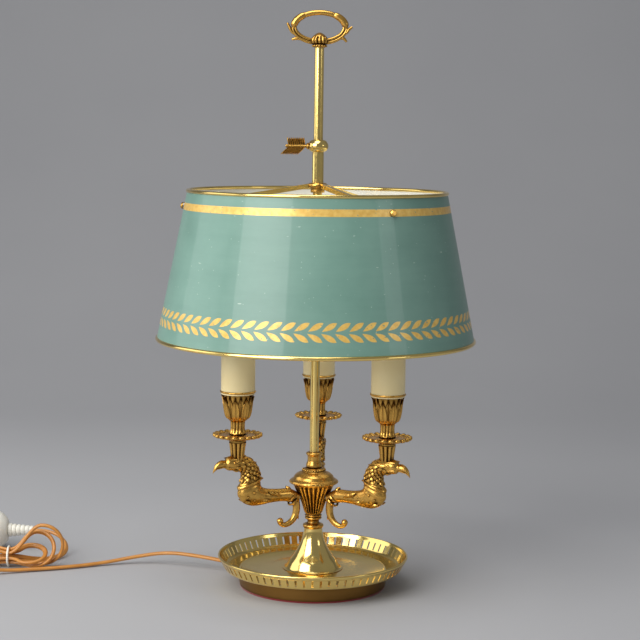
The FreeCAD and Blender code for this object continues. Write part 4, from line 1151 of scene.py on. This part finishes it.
NAPE_LEAVES = (
    ((61.0, 0, 112.2), (55.2, 0, 113.6), (1.6, 1.7, 1.1, 0.1)),
    ((59.0, 0, 108.6), (53.0, 0, 109.2), (1.6, 1.8, 1.1, 0.1)),
    ((57.5, 0, 104.2), (51.8, 0, 104.6), (1.5, 1.6, 1.0, 0.1)),
    ((55.5, 0, 99.4), (48.8, 0, 98.8), (1.6, 2.0, 1.4, 0.2)),
    ((24.0, 0, 86.6), (27.4, 0, 90.2), (2.0, 2.2, 1.4, 0.3)),
)


def bird_details():
    """Eyes, brows and beak edges, scrolls on the breast, nape feathers, and the double ring."""
    details = []
    for side in (-1, 1):
        details.append(pearl_at(78.6, side * 5.6, 115.2, 1.5))
        for start, end, widths, aside, flat in HEAD_LEAVES:
            details.append(leaf_between(start, end, widths, side * aside, flat))
        for x, z, size in SCROLLS:
            depth = side * bird_half_width(x) * 0.97
            details.append(hoop((x, depth, z), (0, 1, 0), size, 0.34 * size, 20))
            details.append(pearl_at(x, depth, z, 0.4 * size, 0.8))
        for root, tip in SIDE_LEAVES:
            depth = side * bird_half_width(root[0]) * 0.9
            details.append(leaf_between(root, tip, (0.4, 1.6, 1.5, 0.9, 0.1), depth, 0.8))
    details.append(band_round(9, 1.1))
    for root, tip, widths in NAPE_LEAVES:
        details.append(leaf_between(root, tip, widths, 0.0, 1.3))
    for x, z in ((20.0, 77.2), (21.8, 80.6)):
        details.append(hoop((x, 0, z), (0.7, 0, 0.7), 5.2, 0.95))
    return join(*details)


def bird_half_width(x):
    """Half the arm's width at a distance from the lamp's axis, along its lower part."""
    return 5.0 + 2.3 * max(0.0, min(1.0, (x - 34.0) / 26.0))


def bird_section(place):
    """Low and high point and half width of the arm at a place along its list of sections."""
    k = int(place)
    a, b = side_view[k], side_view[min(k + 1, len(side_view) - 1)]
    x1, z1, x2, z2, half = (p + (q - p) * (place - k) for p, q in zip(a, b))
    return Vector((x1, 0, z1 + ARM_HEIGHT)), Vector((x2, 0, z2 + ARM_HEIGHT)), half


def on_bird(place, angle, lift=0.0):
    """A point on the arm's surface, or a little off it."""
    low, high, half = bird_section(place)
    middle, rise = (low + high) / 2, (high - low) / 2
    out = rise * math.cos(angle) - Vector((0, 1, 0)) * (half * math.sin(angle))
    return middle + out * (1 + lift / out.length)


def band_round(place, bar):
    """A raised band that goes round the arm, where the neck leaves the breast."""
    rows = []
    for k in range(37):
        angle = 2 * math.pi * k / 36
        centre = on_bird(place, angle)
        out = (on_bird(place, angle, 1.0) - centre).normalized()
        along = (on_bird(place + 0.2, angle) - centre).normalized()
        rows.append([centre + out * (bar * math.cos(a)) + along * (1.4 * bar * math.sin(a))
                     for a in (2 * math.pi * j / 10 for j in range(10))])
    return facing_out(*skin(rows, False, False))


def feathers():
    """Overlapping feathers on the neck and the back of the head, with their tips towards the breast."""
    found = []
    for row in range(9):
        place = 9.9 + 0.42 * row
        for k in range(9):
            angle = 2 * math.pi * (k + 0.5 * (row % 2)) / 9
            root, tip = on_bird(place + 0.55, angle, 0.0), on_bird(place - 0.35, angle, 0.9)
            found.append(scale_between(root, tip, on_bird(place, angle, 1.0) - on_bird(place, angle)))
    return join(*found)


def scale_between(root, tip, out):
    """One feather: a long drop with a ridge, lying on the surface."""
    along = (tip - root).normalized()
    side = along.cross(out).normalized()
    rows = []
    for share, width in ((0.0, 0.2), (0.2, 1.2), (0.5, 1.75), (0.75, 1.5), (0.93, 0.7), (1.0, 0.1)):
        middle = root.lerp(tip, share)
        row = []
        for j in range(8):
            sine = math.sin(2 * math.pi * j / 8)
            lift = abs(sine) ** 0.7 * (1 if sine >= 0 else -0.4)
            row.append(middle + side * (width * math.cos(2 * math.pi * j / 8)) + out * (0.7 * width * lift))
        rows.append(row)
    return facing_out(*skin(rows))


stub = turn_rows(flow([
    (5.6, 116.5), (6.0, 119.0), (6.1, 121.5), (6.5, 125.0), (7.3, 130.6), (7.5, 132.2),
], 6), 100, lobes(10, 1.7, 0.0, 0.97))
stub_ring = turn_rows(flow([(6.6, 132.2), (7.3, 132.9), (7.4, 134.2), (6.8, 135.0)], 4) + [(4.1, 135.0)], 48)
stubs = [(placed(points, ARM_REACH), faces) for points, faces in (skin(stub), skin(stub_ring))]
eagle_points, eagle_faces = join(bird_skin, bird_details(), feathers(), *stubs)
for arm in ARMS:
    new_piece(
        f"eagle_{arm}", placed(eagle_points, 0, ARM_TURN[arm]), eagle_faces, cast_brass, "stand",
        [f"bird_arm_{arm}"], "gilt_brass", 35.0,
    )
print("eagle arms:", len(ARMS), "with", len(bird_skin[0]), "points each")

# %% [markdown]
# ## The C-scrolls
# Under each arm a bar drops beside the urn and curls outwards, ending in a small ball. It is swept
# along a smooth line and gets thinner towards the curl, with flattened sides.

# %% Scrolls
scroll_line = [Vector(p) for p in flow([
    (17.6, 0, 76.0), (16.8, 0, 71.4), (16.9, 0, 67.2), (18.2, 0, 62.8), (20.8, 0, 59.2), (24.4, 0, 56.7),
    (28.4, 0, 55.9), (31.6, 0, 57.0), (33.2, 0, 58.8),
], 6)]


def scroll_rows():
    rows = []
    for k, point in enumerate(scroll_line):
        along = (scroll_line[min(k + 1, len(scroll_line) - 1)] - scroll_line[max(k - 1, 0)]).normalized()
        across = Vector((along.z, 0, -along.x))
        size = 3.5 - 1.7 * k / (len(scroll_line) - 1)
        row = []
        for j in range(20):
            sine, cosine = math.sin(2 * math.pi * j / 20), math.cos(2 * math.pi * j / 20)
            aside = size * 1.1 * sine * (1 - 0.16 * abs(sine) ** 6)
            row.append(point + across * (size * cosine) + Vector((0, 1, 0)) * aside)
        rows.append(row)
    return rows


scroll_points, scroll_faces = join(
    facing_out(*skin(scroll_rows())), pearl_at(32.4, 0, 59.6, 2.9),
    leaf_between((17.4, 0, 66.0), (14.6, 0, 59.6), (1.4, 2.0, 1.5, 0.2)),
)
for arm in ARMS:
    new_piece(
        f"scroll_{arm}", placed(scroll_points, 0, ARM_TURN[arm]), scroll_faces, cast_brass, "stand",
        [f"arm_scroll_{arm}"], "gilt_brass",
    )
print("scroll length", round(line_length(scroll_line)), "mm")

# %% [markdown]
# ## Drip pans and candle cups
# A scalloped pan catches the wax, and a cup of standing leaves holds the candle tube. The pan's edge
# is a ring of twenty drops. The cup's leaves are shells with a raised edge and a vein, set round it in
# two layers by the ring tree, with their tips curling out under the lip.

# %% Pans and cups
pan_outline = flow([
    (7.2, 135.1), (13.5, 135.7), (17.6, 136.6), (19.4, 137.6), (19.6, 138.6), (18.4, 138.9), (12.0, 138.3),
    (8.2, 138.9), (6.6, 139.0),
], 5)
cup_outline = flow([
    (6.6, 139.1), (7.3, 140.2), (6.5, 142.4), (6.1, 145.0), (6.2, 148.4), (6.6, 150.6), (8.3, 151.8),
    (8.6, 152.8), (9.8, 154.8), (10.9, 158.6), (11.7, 164.0), (12.2, 169.5), (12.5, 172.6), (13.2, 174.2),
    (15.0, 175.3), (15.4, 176.2), (14.9, 176.9),
], 5) + [(14.62, 176.9), (14.62, 176.1), (13.2, 175.9), (11.0, 172.0)]


def gadroon():
    """One lobe of the pan's edge: a drop that lies outwards."""
    rows = []
    for share, width, height in (
        (0.0, 0.3, 137.6), (0.15, 1.3, 137.8), (0.4, 2.3, 138.1), (0.65, 2.9, 138.4), (0.85, 2.6, 138.7),
        (0.96, 1.5, 138.9), (1.0, 0.2, 139.0),
    ):
        angles = [2 * math.pi * j / 10 for j in range(10)]
        x = 13.2 + 8.4 * share
        rows.append([(x, width * math.cos(a), height + 0.62 * width * math.sin(a)) for a in angles])
    return facing_out(*skin(rows))


LEAF_PROFILE = ((1.0, 0.0), (0.86, 0.75), (0.68, 0.45), (0.42, 0.12), (0.16, 0.2))


def cup_leaf(foot, tip, half, lift):
    """A standing leaf: a shell with a raised edge and a middle vein, which curls out at its tip."""
    rows = []
    across = [(-side, swell) for side, swell in LEAF_PROFILE] + [(0.0, 0.8)] + list(reversed(LEAF_PROFILE))
    for k in range(13):
        share = k / 12
        height = foot + (tip - foot) * share
        spread = half * math.sin(math.pi * min(1.0, 0.22 + 0.86 * share)) ** 0.75 + 0.05
        reach = cup_radius_at(height) + lift + 3.6 * max(0.0, share - 0.75)
        row = [
            (reach + swell - 0.06 * (side * spread) ** 2, side * spread, height) for side, swell in across
        ]
        row += [(reach - 1.2, 0.6 * spread, height), (reach - 1.2, -0.6 * spread, height)]
        rows.append(row)
    return facing_out(*skin(rows))


def cup_radius_at(height):
    """Radius of the cup's own wall, read from its outline."""
    below = max((p for p in cup_outline[:-4] if p[1] <= height), key=lambda p: p[1])
    above = min((p for p in cup_outline[:-4] if p[1] >= height), key=lambda p: p[1])
    share = 0.0 if above[1] == below[1] else (height - below[1]) / (above[1] - below[1])
    return below[0] + (above[0] - below[0]) * share


SLEEVE_R, SLEEVE_BASE = 14.5, 174.05
candle_outline = [(SLEEVE_R, SLEEVE_BASE + 15.0 * k) for k in range(5)] + [
    (14.3, 235.0), (13.2, 235.05), (13.0, 234.6), (13.0, SLEEVE_BASE), (SLEEVE_R, SLEEVE_BASE),
]
cup_flutes = lobes(12, 0.9, 0.05, 0.4)
front_leaf = cup_leaf(153.0, 172.4, 3.5, 0.35)
back_leaf = cup_leaf(154.5, 174.0, 3.0, -0.2)
for arm in ARMS:
    at = ARM_TURN[arm]
    lathe(f"pan_{arm}", pan_outline, cast_brass, "stand", [f"drip_pan_{arm}"], 96, at=at)
    ring_of(f"pan_edge_{arm}", gadroon(), 20, 0.001, 0.0, 3.0, cast_brass, "stand", at=at)
    lathe(f"cup_{arm}", cup_outline, cast_brass, "stand", [f"candle_cup_{arm}"], 120, cup_flutes, at=at)
    ring_of(f"cup_leaves_{arm}", front_leaf, 8, 0.001, 0.0, 10.0, cast_brass, "stand", at=at)
    ring_of(f"cup_leaves_back_{arm}", back_leaf, 8, 0.001, 0.0, 32.5, cast_brass, "stand", at=at)
    sleeve = [f"candle_sleeve_{arm}"]
    lathe(f"candle_{arm}", candle_outline, ivory, "stand", sleeve, 72, slot="ivory", at=at)
print("cup leaves:", 16 * len(ARMS))

# %% [markdown]
# ## Finishes on the CAD's own pieces
# The pieces that stay as they are in the CAD get their finishes here, by node.

# %% CAD finishes
kept_nodes = (
    (red_felt, ["felt_pad"]),
    (iron, ["base_weight"]),
    (steel, ["tie_nut", "tie_tube", "arm_nipples", "plug_pins"]),
    (wire_plastic, ["inner_lead", "arm_wires"]),
    (white_plastic, ["cord_bushing", "switch_base", "switch_cover", "switch_rocker"]),
    (rod_brass, ["spider_arms"]),
    (spun_brass, ["sleeve_tube"]),
    (cast_brass, ["shade_screws"]),
    (black_plastic, [f"lamp_holder_{arm}" for arm in ARMS]),
    (cap_metal, [f"bulb_cap_{arm}" for arm in ARMS]),
    (bulb_glass, [f"bulb_glass_{arm}" for arm in ARMS]),
)
finished = []
for material, names in kept_nodes:
    for name in names:
        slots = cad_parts[name].data.materials
        slots.clear()
        slots.append(material)
        finished.append(name)
left_plain = [n for n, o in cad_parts.items() if not o.hide_render and n not in finished]
print("nodes still without a finish:", left_plain)

# %% [markdown]
# ## Floor and light
# The lamp stands on a plain grey ground that curves up into a backdrop. A large soft lamp at the left
# front does most of the work, with one at the left, one overhead and a weak one at the right. They and
# a pale sky give the brass something broad to mirror.

# %% Stage
COVE_START, COVE_R, STAGE_HALF, GAP = 900, 1400, 4000, 0.05


def stage_floor():
    finish = Finish("grey ground", Roughness=0.65)
    cloud = finish.noise(3.0, 2.0)
    finish.set(Base_Color=finish.blend(cloud, colour(178, 178, 180), colour(170, 170, 173)))
    bend = [math.radians(3 * k) for k in range(31)]
    line = [(-2600, 0)]
    line += [(COVE_START + COVE_R * math.sin(a), COVE_R - COVE_R * math.cos(a)) for a in bend]
    line += [(COVE_START + COVE_R, 3200)]
    points, faces = [], []
    for y, z in line:
        points += [(-STAGE_HALF, y, z - GAP), (STAGE_HALF, y, z - GAP)]
    for k in range(len(line) - 1):
        faces.append((2 * k, 2 * k + 1, 2 * k + 3, 2 * k + 2))
    mesh = bpy.data.meshes.new("ground")
    mesh.from_pydata([Vector(p) * MM for p in points], [], faces)
    mesh.materials.append(finish.material)
    mesh.polygons.foreach_set("use_smooth", [True] * len(mesh.polygons))
    ground = bpy.data.objects.new("ground", mesh)
    bpy.context.collection.objects.link(ground)


def soft_light(name, place, target, size, power, tint=(1, 1, 1)):
    data = bpy.data.lights.new(name, "AREA")
    data.size = size
    data.energy = power
    data.color = tint
    light = bpy.data.objects.new(name, data)
    bpy.context.collection.objects.link(light)
    light.location = place
    light.rotation_euler = (Vector(target) - Vector(place)).to_track_quat("-Z", "Y").to_euler()


stage_floor()
soft_light("key", (-1.15, -1.25, 1.1), (0, 0, 0.28), 1.4, 33.0, (1.0, 0.99, 0.96))
soft_light("side", (-1.5, 0.15, 0.7), (0, 0, 0.28), 1.1, 5.0)
soft_light("fill", (1.7, -1.0, 0.8), (0, 0, 0.22), 0.5, 1.6)
soft_light("top", (-0.25, -0.5, 2.0), (0, 0, 0.1), 1.2, 16.0)
world = bpy.data.worlds.new("studio")
world.use_nodes = True
sky = world.node_tree.nodes["Background"].inputs
sky["Color"].default_value = (0.72, 0.74, 0.78, 1)
sky["Strength"].default_value = 0.3
bpy.context.scene.world = world
bpy.context.scene.view_settings.view_transform = "Standard"
print("lights:", len(bpy.data.lights))
